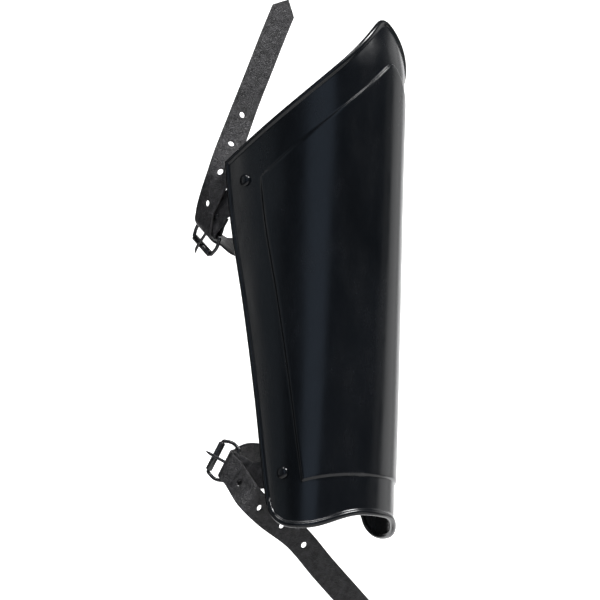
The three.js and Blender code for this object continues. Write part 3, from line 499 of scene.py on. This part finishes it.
def make_buckle_frame(name, buckle):
    corner = BUCKLE_WIRE_RADIUS + SEAT_GAP
    reach = FRAME_HALF_WIDTH - corner
    outline = []

    def corner_at(across, ahead, start):
        for i in range(CORNER_STEPS + 1):
            turn = start + RIGHT * i / CORNER_STEPS
            outline.append((across + corner * math.cos(turn), ahead + corner * math.sin(turn)))

    def arm_at(side):
        for i in range(1, ARM_STEPS):
            share = i / ARM_STEPS if side > 0 else 1 - i / ARM_STEPS
            bow = BUCKLE_ARM_BOW * math.sin(math.pi * share)
            outline.append((side * (FRAME_HALF_WIDTH + bow),
                            corner + share * (ROLLER_DISTANCE - 2 * corner)))

    corner_at(reach, corner, -RIGHT)
    arm_at(1)
    corner_at(reach, ROLLER_DISTANCE - corner, 0)
    corner_at(-reach, ROLLER_DISTANCE - corner, RIGHT)
    arm_at(-1)
    corner_at(-reach, corner, math.pi)
    centres = [buckle.at(ahead, 0, across) for across, ahead in outline]
    return sweep(name, centres, BUCKLE_WIRE_RADIUS, WIRE_SIDES, True, buckle.out)


ROLLER_SIDES = 40


def make_roller(name, buckle):
    half = FRAME_HALF_WIDTH - BUCKLE_WIRE_RADIUS - 2 * SEAT_GAP
    bore = ROLLER_RADIUS - ROLLER_WALL
    ease = ROLLER_END_ROUND
    rows = [(bore, -half), (ROLLER_RADIUS - ease, -half), (ROLLER_RADIUS, -half + ease),
            (ROLLER_RADIUS, half - ease), (ROLLER_RADIUS - ease, half), (bore, half), (bore, -half)]
    return turned(name, rows, buckle.at(ROLLER_DISTANCE, 0), buckle.across, ROLLER_SIDES)


PRONG_EYE_WALL = STRAP_THICKNESS
PRONG_HOLE_RADIUS = PRONG_RADIUS + 1.5 * SEAT_GAP
PRONG_START = BUCKLE_WIRE_RADIUS + SEAT_GAP + PRONG_EYE_WALL - PRONG_RADIUS
PRONG_REST = ROLLER_RADIUS + SEAT_GAP + PRONG_RADIUS
EYE_STEPS, EYE_SIDES, ROD_STEPS = 32, 14, 24


def make_prong(name, buckle):
    eye = []
    ring = BUCKLE_WIRE_RADIUS + SEAT_GAP + PRONG_EYE_WALL / 2
    for i in range(EYE_STEPS):
        turn = 2 * math.pi * i / EYE_STEPS
        eye.append(buckle.at(ring * math.cos(turn), ring * math.sin(turn)))
    eye_piece = sweep(name + "_eye", eye, PRONG_EYE_WALL / 2, EYE_SIDES, True, buckle.across)
    length = ROLLER_DISTANCE + PRONG_OVERHANG
    rod = []
    for i in range(ROD_STEPS + 1):
        share = i / ROD_STEPS
        ahead = length * share
        rise = PRONG_START + (PRONG_REST - PRONG_START) * ahead / ROLLER_DISTANCE
        past = max(0.0, ahead - ROLLER_DISTANCE)
        rod.append(buckle.at(ahead, rise - PRONG_TIP_BEND * past * past))

    def thickness(share):
        into_tip = smooth_step((share - 0.75) / 0.25)
        return PRONG_RADIUS * (1 - PRONG_TIP_TAPER * into_tip ** 2)

    rod_piece = sweep(name, rod, thickness, WIRE_SIDES, False, buckle.across)
    return join(rod_piece, eye_piece)


def join(*objects):
    with bpy.context.temp_override(active_object=objects[0], selected_editable_objects=list(objects)):
        bpy.ops.object.join()
    return objects[0]


def catmull(points, t, centripetal):
    """A smooth line through the points, at a share t of its spans."""
    last = len(points) - 1
    place = last * t
    i = min(int(math.floor(place)), last - 1)
    w = place - i
    p1, p2 = points[i], points[i + 1]
    p0 = points[i - 1] if i > 0 else points[0] * 2 - points[1]
    p3 = points[i + 2] if i + 2 <= last else points[last] * 2 - points[last - 1]
    if centripetal:
        d0 = (p1 - p0).length_squared ** 0.25
        d1 = (p2 - p1).length_squared ** 0.25
        d2 = (p3 - p2).length_squared ** 0.25
        d1 = 1.0 if d1 < 1e-4 else d1
        d0 = d1 if d0 < 1e-4 else d0
        d2 = d1 if d2 < 1e-4 else d2
        m1 = ((p1 - p0) / d0 - (p2 - p0) / (d0 + d1) + (p2 - p1) / d1) * d1
        m2 = ((p2 - p1) / d1 - (p3 - p1) / (d1 + d2) + (p3 - p2) / d2) * d1
    else:
        m1, m2 = (p2 - p0) * 0.5, (p3 - p1) * 0.5
    w2, w3 = w * w, w * w * w
    return p1 + m1 * w + (p2 * 3 - p1 * 3 - m1 * 2 - m2) * w2 + (p1 * 2 - p2 * 2 + m1 + m2) * w3


STRAP_STEP = 1.6


def band_samples(stations):
    line = [point for point, _ in stations]
    widths = [width for _, width in stations]
    spans = len(stations) - 1
    shares = []
    for i in range(spans):
        steps = max(1, round((line[i + 1] - line[i]).length / STRAP_STEP))
        shares += [(i + k / steps) / spans for k in range(steps)]
    shares.append(1.0)
    samples = []
    for t in shares:
        t1, t2 = max(0.0, t - 1e-4), min(1.0, t + 1e-4)
        along = (catmull(line, t2, True) - catmull(line, t1, True)).normalized()
        width = catmull(widths, t, False)
        width = (width - along * width.dot(along)).normalized()
        samples.append((catmull(line, t, True), along, width, along.cross(width)))
    return samples


def band_lengths(samples):
    total, lengths = 0.0, []
    for i, sample in enumerate(samples):
        total += (sample[0] - samples[i - 1][0]).length if i else 0.0
        lengths.append(total)
    return lengths


ACROSS = [-1, -0.985, -0.95, -0.9, -0.8, -0.6, -0.4, -0.2, 0, 0.2, 0.4, 0.6, 0.8, 0.9, 0.95,
          0.985, 1]
EDGE_ROUND = 0.085
EDGE_THICKNESS = 0.32


def edge_profile(w):
    """Half thickness at a place across a strap, as a share: the skived, burnished edge is round."""
    into = (abs(w) - (1 - EDGE_ROUND)) / EDGE_ROUND
    if into <= 0:
        return 1.0
    return EDGE_THICKNESS + (1 - EDGE_THICKNESS) * math.sqrt(max(0.0, 1 - into * into))


def band_mesh(name, rows):
    """A strap from rows of (function from mm across to point and face, half width)."""
    points, faces = [], []
    half = STRAP_THICKNESS / 2
    for place, reach in rows:
        top, under = [], []
        for w in ACROSS:
            point, face = place(w * reach)
            lift = half * edge_profile(w)
            top.append(point + face * lift)
            under.append(point - face * lift)
        points += top + under[::-1]
    ring = 2 * len(ACROSS)
    for i in range(len(rows) - 1):
        for k in range(ring):
            k2 = (k + 1) % ring
            a, b = i * ring, (i + 1) * ring
            faces.append((a + k, b + k, b + k2, a + k2))
    for end, flip in ((0, False), ((len(rows) - 1) * ring, True)):
        for k in range(len(ACROSS) - 1):
            low = ring - 1 - k
            cap = (end + k, end + k + 1, end + low - 1, end + low)
            faces.append(cap[::-1] if flip else cap)
    return make_mesh(name, points, faces)


def sample_row(sample, reach):
    point, _, width, face = sample
    return (lambda w: (point + width * w, face)), reach


def wing_point(side, from_back, z, inside):
    angle = side * angle_from_back(max(0.0, from_back), z)
    point = face_point(angle, z) - face_normal(angle, z) * inside
    point.y += max(0.0, -from_back)
    return point


def strap_inside(from_back):
    start = RIVET_FROM_BACK - 2 * RIVET_BURR_RADIUS
    rise = smooth_step((start - from_back) / (start - EDGE_ROLL_RADIUS))
    return SEAT_INSIDE + (CLEAR_INSIDE - SEAT_INSIDE) * rise


def wing_stations(side, rivet_z, edge_z):
    slope = (edge_z - rivet_z) / RIVET_FROM_BACK
    run = math.hypot(1, slope)

    def on(y, z):
        return wing_point(side, back_line(z) - y, z, strap_inside(back_line(z) - y))

    def place(from_back):
        z = rivet_z + slope * (RIVET_FROM_BACK - from_back)
        y = back_line(z) - from_back
        up = STRAP_WIDTH / 2 / run
        upper, lower = on(y - slope * up, z + up), on(y + slope * up, z - up)
        middle, chord = on(y, z), (upper + lower) / 2
        point = middle if abs(middle.x) < abs(chord.x) else chord
        return point, (upper - lower).normalized()

    past = STRAP_END_PAST_RIVET / run
    flat = RIVET_FROM_BACK - RIVET_BURR_RADIUS
    mid = (flat + 2 * EDGE_ROLL_RADIUS) / 2
    return [place(d) for d in (RIVET_FROM_BACK + past, RIVET_FROM_BACK, flat, mid,
                               2 * EDGE_ROLL_RADIUS, -EDGE_ROLL_RADIUS)]


def edge_crossing(buckle, rivet_z):
    rivet = rivet_seat(NEAR, rivet_z)[0]
    fold = buckle.at(-FOLD_RIVET_FROM_BAR - FOLD_PAST_RIVET - STRAP_THICKNESS, FOLD_PINCH)
    share = RIVET_FROM_BACK / (fold.y - rivet.y)
    return rivet_z + (fold.z - rivet_z) * share


BAR_STEPS = 6


def make_buckle_strap(name, buckle, rivet_z):
    width = -buckle.across
    fold = FOLD_RIVET_FROM_BAR
    pinched = FOLD_RIVET_HEAD_RADIUS + SEAT_GAP - fold
    stations = wing_stations(NEAR, rivet_z, edge_crossing(buckle, rivet_z))
    local = [(-fold - FOLD_PAST_RIVET - STRAP_THICKNESS, FOLD_PINCH), (-fold, FOLD_PINCH),
             (pinched, FOLD_PINCH), (-fold / 3, FOLD_RADIUS - SEAT_GAP)]
    for i in range(BAR_STEPS + 1):
        turn = math.pi * i / BAR_STEPS
        local.append((FOLD_RADIUS * math.sin(turn), FOLD_RADIUS * math.cos(turn)))
    local += [(-fold / 3, SEAT_GAP - FOLD_RADIUS), (pinched, -FOLD_PINCH), (-fold, -FOLD_PINCH),
              (-fold - FOLD_PAST_RIVET, -FOLD_PINCH)]
    stations += [(buckle.at(ahead, out), width) for ahead, out in local]
    strap = band_mesh(name, [sample_row(s, STRAP_WIDTH / 2) for s in band_samples(stations)])
    wide = PRONG_HOLE_RADIUS
    reach = FOLD_RADIUS + STRAP_THICKNESS
    slot = box_cutter(buckle, (-wide, wide), (-0.75 * reach, 1.25 * reach), (-reach, reach))
    return cut(strap, [slot])


def box_cutter(buckle, across, ahead, out):
    points = [buckle.at(a, o, c) for c in across for a in ahead for o in out]
    faces = [(0, 1, 3, 2), (4, 6, 7, 5), (0, 4, 5, 1), (2, 3, 7, 6), (0, 2, 6, 4), (1, 5, 7, 3)]
    return make_mesh("cutter", points, faces, smooth=False)


HOLE_SIDES = 28


def drill(seat, axis, radius, reach):
    rows = [(0, -reach), (radius, -reach), (radius, reach), (0, reach)]
    return turned("cutter", rows, seat, axis, HOLE_SIDES)


def cut(piece, cutters):
    """Takes the cutters out of the piece, for good."""
    for cutter in cutters:
        fix = piece.modifiers.new("cut", "BOOLEAN")
        fix.operation = "DIFFERENCE"
        fix.solver = "EXACT"
        fix.object = cutter
    graph = bpy.context.evaluated_depsgraph_get()
    mesh = bpy.data.meshes.new_from_object(piece.evaluated_get(graph))
    piece.modifiers.clear()
    piece.data = mesh
    for cutter in cutters:
        bpy.data.objects.remove(cutter)
    return piece


def fold_place(buckle, fold_angle, along, across):
    angle = math.radians(fold_angle)
    turned_by = along * math.cos(angle) - across * math.sin(angle)
    beside = along * math.sin(angle) + across * math.cos(angle)
    turn = max(0.0, min(RIGHT, turned_by / TURN_RADIUS))
    beyond = max(0.0, turned_by - RIGHT * TURN_RADIUS)
    inward = min(0.0, turned_by)
    point = buckle.at(TURN_RADIUS * math.cos(turn) - beyond, TURN_RADIUS * math.sin(turn) + inward,
                      -beside)
    return point, buckle.at(math.cos(turn), math.sin(turn)) - buckle.origin


def window_reach(fold_angle):
    return STRAP_WIDTH / 2 * abs(math.tan(math.radians(fold_angle))) + SEAT_GAP


def fold_reach(fold_angle):
    return RIGHT * TURN_RADIUS / math.cos(math.radians(fold_angle)) + window_reach(fold_angle)


def fold_station(buckle, fold_angle, along):
    point = fold_place(buckle, fold_angle, along, 0)[0]
    return point, fold_place(buckle, fold_angle, along, 1)[0] - point


# Routes behind the opening: a share of the half width, of the reach behind and of the drop, and
# how far the width has turned
UPPER_CHORD = [(0.8, 0.42, 0.26, 0.1), (0.35, 0.66, 0.64, 0.25), (-0.2, 0.82, 1.02, 0.4),
               (-0.62, 0.9, 1.15, 0.65)]
LOWER_CHORD = [(0.8, 0.45, 0.4, 0.1), (0.3, 0.8, 0.95, 0.4), (-0.25, 1.02, 1.45, 0.8),
               (-0.7, 1.08, 1.5, 1)]

# Free ends: shares of the free length along X, Y and Z, then the way of the width
UPPER_ROUTE = [
    ((-0.024, -0.067, 0.201), (-0.38, 0.84, 0.3)),
    ((0.04, -0.07, 0.334), (-0.8, 0.5, 0.27)),
    ((0.0995, -0.0845, 0.482), (-0.9, 0.3, 0.3)),
    ((0.161, -0.103, 0.634), (-0.9, 0.3, 0.3)),
    ((0.207, -0.116, 0.747), (-0.9, 0.3, 0.3)),
    ((0.269, -0.134, 0.892), (-0.9, 0.3, 0.3)),
]
LOWER_ROUTE = [
    ((-0.014, -0.094, -0.12), (0.3, -0.5, 0.8)),
    ((0.075, -0.099, -0.177), (0.42, -0.45, 0.78)),
    ((0.223, -0.112, -0.249), (0.45, -0.5, 0.72)),
    ((0.357, -0.121, -0.352), (0.45, -0.5, 0.72)),
    ((0.495, -0.13, -0.453), (0.45, -0.5, 0.72)),
    ((0.71, -0.145, -0.61), (0.45, -0.5, 0.72)),
]


FAR_EDGE_DROP = 0.25


def incoming_samples(buckle, fold_angle, rivet_z, chord):
    edge_z = rivet_z + (buckle.origin.z - rivet_z) * FAR_EDGE_DROP
    stations = wing_stations(FAR, rivet_z, edge_z)
    reach = window_reach(fold_angle)
    start = fold_station(buckle, fold_angle, -reach - STRAP_END_PAST_RIVET / 2)
    behind_by = buckle.origin.y - back_line(buckle.origin.z)
    first_width = stations[0][1]
    for across, behind, drop, twist in chord:
        z = edge_z + (start[0].z - edge_z) * drop
        point = Vector((across * half_width(z), back_line(z) + behind * behind_by, z))
        stations.append((point, first_width.lerp(start[1], twist)))
    stations += [start, fold_station(buckle, fold_angle, -reach)]
    return band_samples(stations)


def free_samples(buckle, fold_angle, route):
    reach = fold_reach(fold_angle)
    stations = [fold_station(buckle, fold_angle, along)
                for along in (reach, reach + 2 * STRAP_THICKNESS)]
    for place, width in route:
        point = buckle.origin + Vector(place) * STRAP_FREE_LENGTH
        stations.append((point, Vector(width).normalized()))
    return band_samples(stations)


TURN_STEPS, TIP_STEPS = 40, 12
TIP_FULLNESS, TIP_NOSE = 0.92, 0.05


def make_long_strap(name, buckle, fold_angle, rivet_z, chord, route):
    full = STRAP_WIDTH / 2
    rows = [sample_row(s, full) for s in incoming_samples(buckle, fold_angle, rivet_z, chord)]
    reach = fold_reach(fold_angle)
    begin = -window_reach(fold_angle)
    for i in range(1, TURN_STEPS):
        along = begin + (reach - begin) * i / TURN_STEPS
        rows.append(((lambda w, along=along: fold_place(buckle, fold_angle, along, w)), full))
    samples = free_samples(buckle, fold_angle, route)
    lengths = band_lengths(samples)
    total = lengths[-1]
    rows += [sample_row(s, full) for s, length in zip(samples, lengths)
             if total - length > STRAP_TIP_LENGTH + 1]
    point, along, width, face = samples[-1]
    for i in range(TIP_STEPS + 1):
        to_tip = STRAP_TIP_LENGTH * (1 - i / TIP_STEPS)
        share = max(TIP_NOSE, min(1.0, (to_tip / STRAP_TIP_LENGTH) ** TIP_FULLNESS))
        rows.append(sample_row((point - along * to_tip, along, width, face), full * share))
    strap = band_mesh(name, rows)
    prong_from, prong_to = buckle.at(0, PRONG_START), buckle.at(ROLLER_DISTANCE, PRONG_REST)
    cutters = [drill((prong_from + prong_to) / 2, (prong_to - prong_from).normalized(),
                     PRONG_HOLE_RADIUS, ROLLER_DISTANCE / 2)]
    for i in range(1, STRAP_FREE_HOLES + 1):
        wanted = i * STRAP_HOLE_PITCH - reach
        index = max(1, next(k for k, length in enumerate(lengths) if length > wanted))
        point, along, _, face = samples[index]
        seat = point + along * (wanted - lengths[index])
        cutters.append(drill(seat, face, STRAP_HOLE_RADIUS, 2 * STRAP_THICKNESS))
    return cut(strap, cutters)


FOLD_DOME_STEPS, FOLD_RIVET_SIDES = 8, 32


def make_fold_rivet(name, buckle):
    face = FOLD_PINCH + STRAP_THICKNESS / 2 + SEAT_GAP
    head = FOLD_RIVET_HEAD_HEIGHT
    radius = FOLD_RIVET_HEAD_RADIUS
    turns = [RIGHT * i / FOLD_DOME_STEPS for i in range(FOLD_DOME_STEPS)]
    dome = [(radius * math.cos(turn), face + head * math.sin(turn)) for turn in turns]
    dome.append((0, face + head))
    rows = [(r, -a) for r, a in reversed(dome)]
    rows += [(FOLD_RIVET_RADIUS, -face), (FOLD_RIVET_RADIUS, face)] + dome
    return turned(name, rows, buckle.at(-FOLD_RIVET_FROM_BAR, 0), buckle.out, FOLD_RIVET_SIDES)


class Nodes:
    """A new material with the node chains that the finishes share."""

    def __init__(self, name):
        self.material = bpy.data.materials.new(name)
        self.material.use_nodes = True
        self.tree = self.material.node_tree
        self.shader = self.tree.nodes["Principled BSDF"]
        coords = self.tree.nodes.new("ShaderNodeTexCoord")
        self.object = coords.outputs["Object"]

    def add(self, kind, **settings):
        node = self.tree.nodes.new(kind)
        for key, value in settings.items():
            setattr(node, key, value)
        return node

    def link(self, a, b):
        self.tree.links.new(a, b)

    def noise(self, scale, detail=4.0, rough=0.5, stretch=None):
        node = self.add("ShaderNodeTexNoise")
        node.inputs["Scale"].default_value = scale
        node.inputs["Detail"].default_value = detail
        node.inputs["Roughness"].default_value = rough
        if stretch:
            mapping = self.add("ShaderNodeMapping")
            mapping.inputs["Scale"].default_value = stretch
            self.link(self.object, mapping.inputs["Vector"])
            self.link(mapping.outputs["Vector"], node.inputs["Vector"])
        else:
            self.link(self.object, node.inputs["Vector"])
        return node.outputs["Fac"]

    def ramp(self, source, stops):
        node = self.add("ShaderNodeValToRGB")
        elements = node.color_ramp.elements
        while len(elements) < len(stops):
            elements.new(0.5)
        for element, (place, value) in zip(elements, stops):
            element.position = place
            element.color = (*value, 1) if isinstance(value, tuple) else (value, value, value, 1)
        self.link(source, node.inputs["Fac"])
        return node.outputs["Color"]

    def bump(self, height, strength, distance, normal=None):
        node = self.add("ShaderNodeBump")
        node.inputs["Strength"].default_value = strength
        node.inputs["Distance"].default_value = distance
        self.link(height, node.inputs["Height"])
        if normal:
            self.link(normal, node.inputs["Normal"])
        return node.outputs["Normal"]

    def set(self, **values):
        for key, value in values.items():
            self.shader.inputs[key.replace("_", " ")].default_value = value


def blackened_steel():
    """Oil-blackened sheet: glossy, faintly blue, with smudges, rubbed cloudy patches and slow waves."""
    n = Nodes("blackened_steel_finish")
    cloud = n.noise(11, 4, 0.6, (1, 1, 0.55))
    tint = n.ramp(cloud, [(0.32, (0.0022, 0.003, 0.0042)), (0.68, (0.0048, 0.006, 0.008))])
    n.link(tint, n.shader.inputs["Base Color"])
    smudge = n.noise(46, 7, 0.66, (1, 1, 0.45))
    n.link(n.ramp(smudge, [(0.3, 0.16), (0.7, 0.3)]), n.shader.inputs["Roughness"])
    wave = n.bump(n.noise(8, 1.5, 0.4, (1, 1, 0.6)), 0.35, 0.005)
    dents = n.bump(n.noise(60, 3, 0.5), 0.06, 0.0006, wave)
    fine = n.bump(n.noise(1400, 2, 0.5), 0.05, 0.00012, dents)
    n.link(fine, n.shader.inputs["Normal"])
    n.set(Metallic=0.0, IOR=1.5)
    return n.material


def buckle_steel():
    """Black wire and tube, a little worn to grey."""
    n = Nodes("buckle_steel_finish")
    tint = n.ramp(n.noise(300, 4, 0.6), [(0.35, (0.007, 0.007, 0.008)),
                                         (0.75, (0.022, 0.022, 0.024))])
    n.link(tint, n.shader.inputs["Base Color"])
    n.link(n.ramp(n.noise(420, 4, 0.6), [(0.3, 0.16), (0.7, 0.36)]), n.shader.inputs["Roughness"])
    n.link(n.bump(n.noise(700, 3, 0.6), 0.2, 0.0002), n.shader.inputs["Normal"])
    n.set(Metallic=0.0, IOR=1.7)
    return n.material


def black_leather():
    """Dyed strap leather: pebbled grain under a waxy sheen, with worn pale patches and creases."""
    n = Nodes("black_leather_finish")
    cells = n.add("ShaderNodeTexVoronoi", feature="DISTANCE_TO_EDGE")
    cells.inputs["Scale"].default_value = 620
    warp = n.add("ShaderNodeMixRGB", blend_type="LINEAR_LIGHT")
    warp.inputs["Fac"].default_value = 0.004
    n.link(n.object, warp.inputs["Color1"])
    swirl = n.add("ShaderNodeTexNoise")
    swirl.inputs["Scale"].default_value = 260
    n.link(n.object, swirl.inputs["Vector"])
    n.link(swirl.outputs["Color"], warp.inputs["Color2"])
    n.link(warp.outputs["Color"], cells.inputs["Vector"])
    grain = n.ramp(cells.outputs["Distance"], [(0.0, 0.0), (0.25, 1.0)])
    blotch = n.ramp(n.noise(170, 8, 0.72), [(0.38, (0.006, 0.0057, 0.0066)),
                                            (0.66, (0.05, 0.048, 0.052))])
    n.link(blotch, n.shader.inputs["Base Color"])
    n.link(n.ramp(n.noise(300, 6, 0.65), [(0.3, 0.3), (0.7, 0.56)]), n.shader.inputs["Roughness"])
    crease = n.bump(n.noise(150, 6, 0.7), 0.8, 0.0018)
    n.link(n.bump(grain, 0.75, 0.0004, crease), n.shader.inputs["Normal"])
    n.set(Metallic=0.0, IOR=1.5)
    return n.material


STEEL, BUCKLE_FINISH, LEATHER = blackened_steel(), buckle_steel(), black_leather()


def dress(piece, node, material):
    piece.data.materials.clear()
    piece.data.materials.append(material)
    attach(piece, "root")
    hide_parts(node)


def build_part():
    dress(make_shell(), "shell", STEEL)
    for side, word in ((NEAR, "near"), (FAR, "far")):
        for level, z in (("upper", UPPER_RIVET_HEIGHT), ("lower", LOWER_RIVET_HEIGHT)):
            node = "rivet_%s_%s" % (word, level)
            dress(make_rivet(node + "_head", side, z), node, STEEL)
    levels = (
        ("upper", UPPER, UPPER_FOLD_ANGLE, UPPER_RIVET_HEIGHT, UPPER_CHORD, UPPER_ROUTE),
        ("lower", LOWER, LOWER_FOLD_ANGLE, LOWER_RIVET_HEIGHT, LOWER_CHORD, LOWER_ROUTE),
    )
    for level, buckle, angle, rivet_z, chord, route in levels:
        strap = make_buckle_strap("short_leather_" + level, buckle, rivet_z)
        dress(strap, "buckle_strap_" + level, LEATHER)
        strap = make_long_strap("long_leather_" + level, buckle, angle, rivet_z, chord, route)
        dress(strap, "long_strap_" + level, LEATHER)
        for maker, part in ((make_buckle_frame, "buckle_frame_"), (make_roller, "buckle_roller_"),
                            (make_prong, "buckle_prong_"), (make_fold_rivet, "fold_rivet_")):
            piece = maker(part + level + "_fine", buckle)
            dress(piece, part + level, BUCKLE_FINISH)


def soft_box(name, azimuth, height, away, size, radiance, colour):
    """A rectangular light that faces the object, by its azimuth in degrees and its brightness."""
    data = bpy.data.lights.new(name, "AREA")
    data.shape = "RECTANGLE"
    data.size, data.size_y = size
    data.energy = radiance * math.pi * size[0] * size[1]
    data.color = colour
    light = bpy.data.objects.new(name, data)
    turn = math.radians(azimuth)
    light.location = (away * math.cos(turn), away * math.sin(turn), height)
    light.rotation_euler = (-light.location).to_track_quat("-Z", "Y").to_euler()
    bpy.context.scene.collection.objects.link(light)


# The studio, in metres
FLOOR_Z = -0.95
FLOOR_FROM, FLOOR_TO = -2.5, 0.9
SWEEP_RADIUS, SWEEP_TOP, SWEEP_HALF_WIDTH = 1.2, 3.2, 1.6
SWEEP_STEPS = 16
SWEEP_AWAY = (0.7433, 0.669, 0)
CAMERA_PLACE = (-2.2356, -1.9202, -0.5441)
CAMERA_AHEAD = (0.7318, 0.6590, 0.17365)
CAMERA_SENSOR, CAMERA_LENS, CAMERA_REACH = 36, 225, 30
AIR_STRENGTH = 0.03

# Name, azimuth in degrees, height, distance, size, brightness, colour
WHITE, PALE_BLUE, BLUE = (1, 1, 1), (0.72, 0.86, 1), (0.6, 0.76, 1)
SOFT_BOXES = [
    ("right_key", -25, 0.4, 2.2, (1.1, 2.0), 1.15, WHITE),
    ("right_fill", -53, 0.4, 2.2, (0.5, 2.0), 0.2, WHITE),
    ("far_right", -3, 0.4, 2.2, (0.7, 2.0), 0.7, WHITE),
    ("left_blue", -165, 0.4, 2.2, (0.9, 2.0), 0.55, BLUE),
    ("left_back", 153, 0.4, 2.2, (0.7, 2.0), 0.24, PALE_BLUE),
    ("left_strip", 140, 0.4, 2.2, (0.2, 2.0), 1.2, WHITE),
    ("top_left", 178, 2.0, 1.2, (0.4, 0.6), 18, WHITE),
    ("front_top", -98, 1.9, 1.5, (1.0, 0.7), 42, WHITE),
    ("low_right", -75, -0.7, 1.6, (0.4, 0.2), 3.5, WHITE),
]


def make_stage():
    """A pale floor that curves up into a backdrop behind the object, seen from the camera."""
    away = Vector(SWEEP_AWAY).normalized()
    aside = Vector((-away.y, away.x, 0))
    line = [(FLOOR_FROM, FLOOR_Z), (FLOOR_TO, FLOOR_Z)]
    for i in range(1, SWEEP_STEPS + 1):
        turn = RIGHT * i / SWEEP_STEPS
        line.append((FLOOR_TO + SWEEP_RADIUS * math.sin(turn),
                     FLOOR_Z + SWEEP_RADIUS * (1 - math.cos(turn))))
    line.append((FLOOR_TO + SWEEP_RADIUS, SWEEP_TOP))
    points, faces = [], []
    for along, z in line:
        for side in (-SWEEP_HALF_WIDTH, SWEEP_HALF_WIDTH):
            points.append((away * along + aside * side + Vector((0, 0, z))) / MM)
    for i in range(len(line) - 1):
        faces.append((2 * i, 2 * i + 1, 2 * i + 3, 2 * i + 2))
    stage = make_mesh("studio_sweep", points, faces)
    material = bpy.data.materials.new("studio_white")
    material.use_nodes = True
    shader = material.node_tree.nodes["Principled BSDF"]
    shader.inputs["Base Color"].default_value = (0.9, 0.9, 0.9, 1)
    shader.inputs["Roughness"].default_value = 0.9
    shader.inputs["Emission Color"].default_value = (1, 1, 1, 1)
    shader.inputs["Emission Strength"].default_value = 0.85
    stage.data.materials.append(material)
    floor = bpy.data.materials.new("studio_floor")
    floor.use_nodes = True
    floor.node_tree.nodes["Principled BSDF"].inputs["Base Color"].default_value = (0.7, 0.7, 0.7, 1)
    stage.data.materials.append(floor)
    stage.data.polygons[0].material_index = 1


def make_camera():
    data = bpy.data.cameras.new("camera")
    data.sensor_width = CAMERA_SENSOR
    data.lens = CAMERA_LENS
    data.clip_end = CAMERA_REACH
    camera = bpy.data.objects.new("camera", data)
    camera.location = CAMERA_PLACE
    camera.rotation_euler = Vector(CAMERA_AHEAD).to_track_quat("-Z", "Y").to_euler()
    bpy.context.scene.collection.objects.link(camera)
    bpy.context.scene.camera = camera


def make_lights():
    world = bpy.data.worlds.new("studio_air")
    world.use_nodes = True
    background = world.node_tree.nodes["Background"]
    background.inputs["Color"].default_value = (1, 1, 1, 1)
    background.inputs["Strength"].default_value = AIR_STRENGTH
    bpy.context.scene.world = world
    for row in SOFT_BOXES:
        soft_box(*row)
    bpy.context.scene.view_settings.view_transform = "Standard"


build_part()
make_stage()
make_camera()
make_lights()
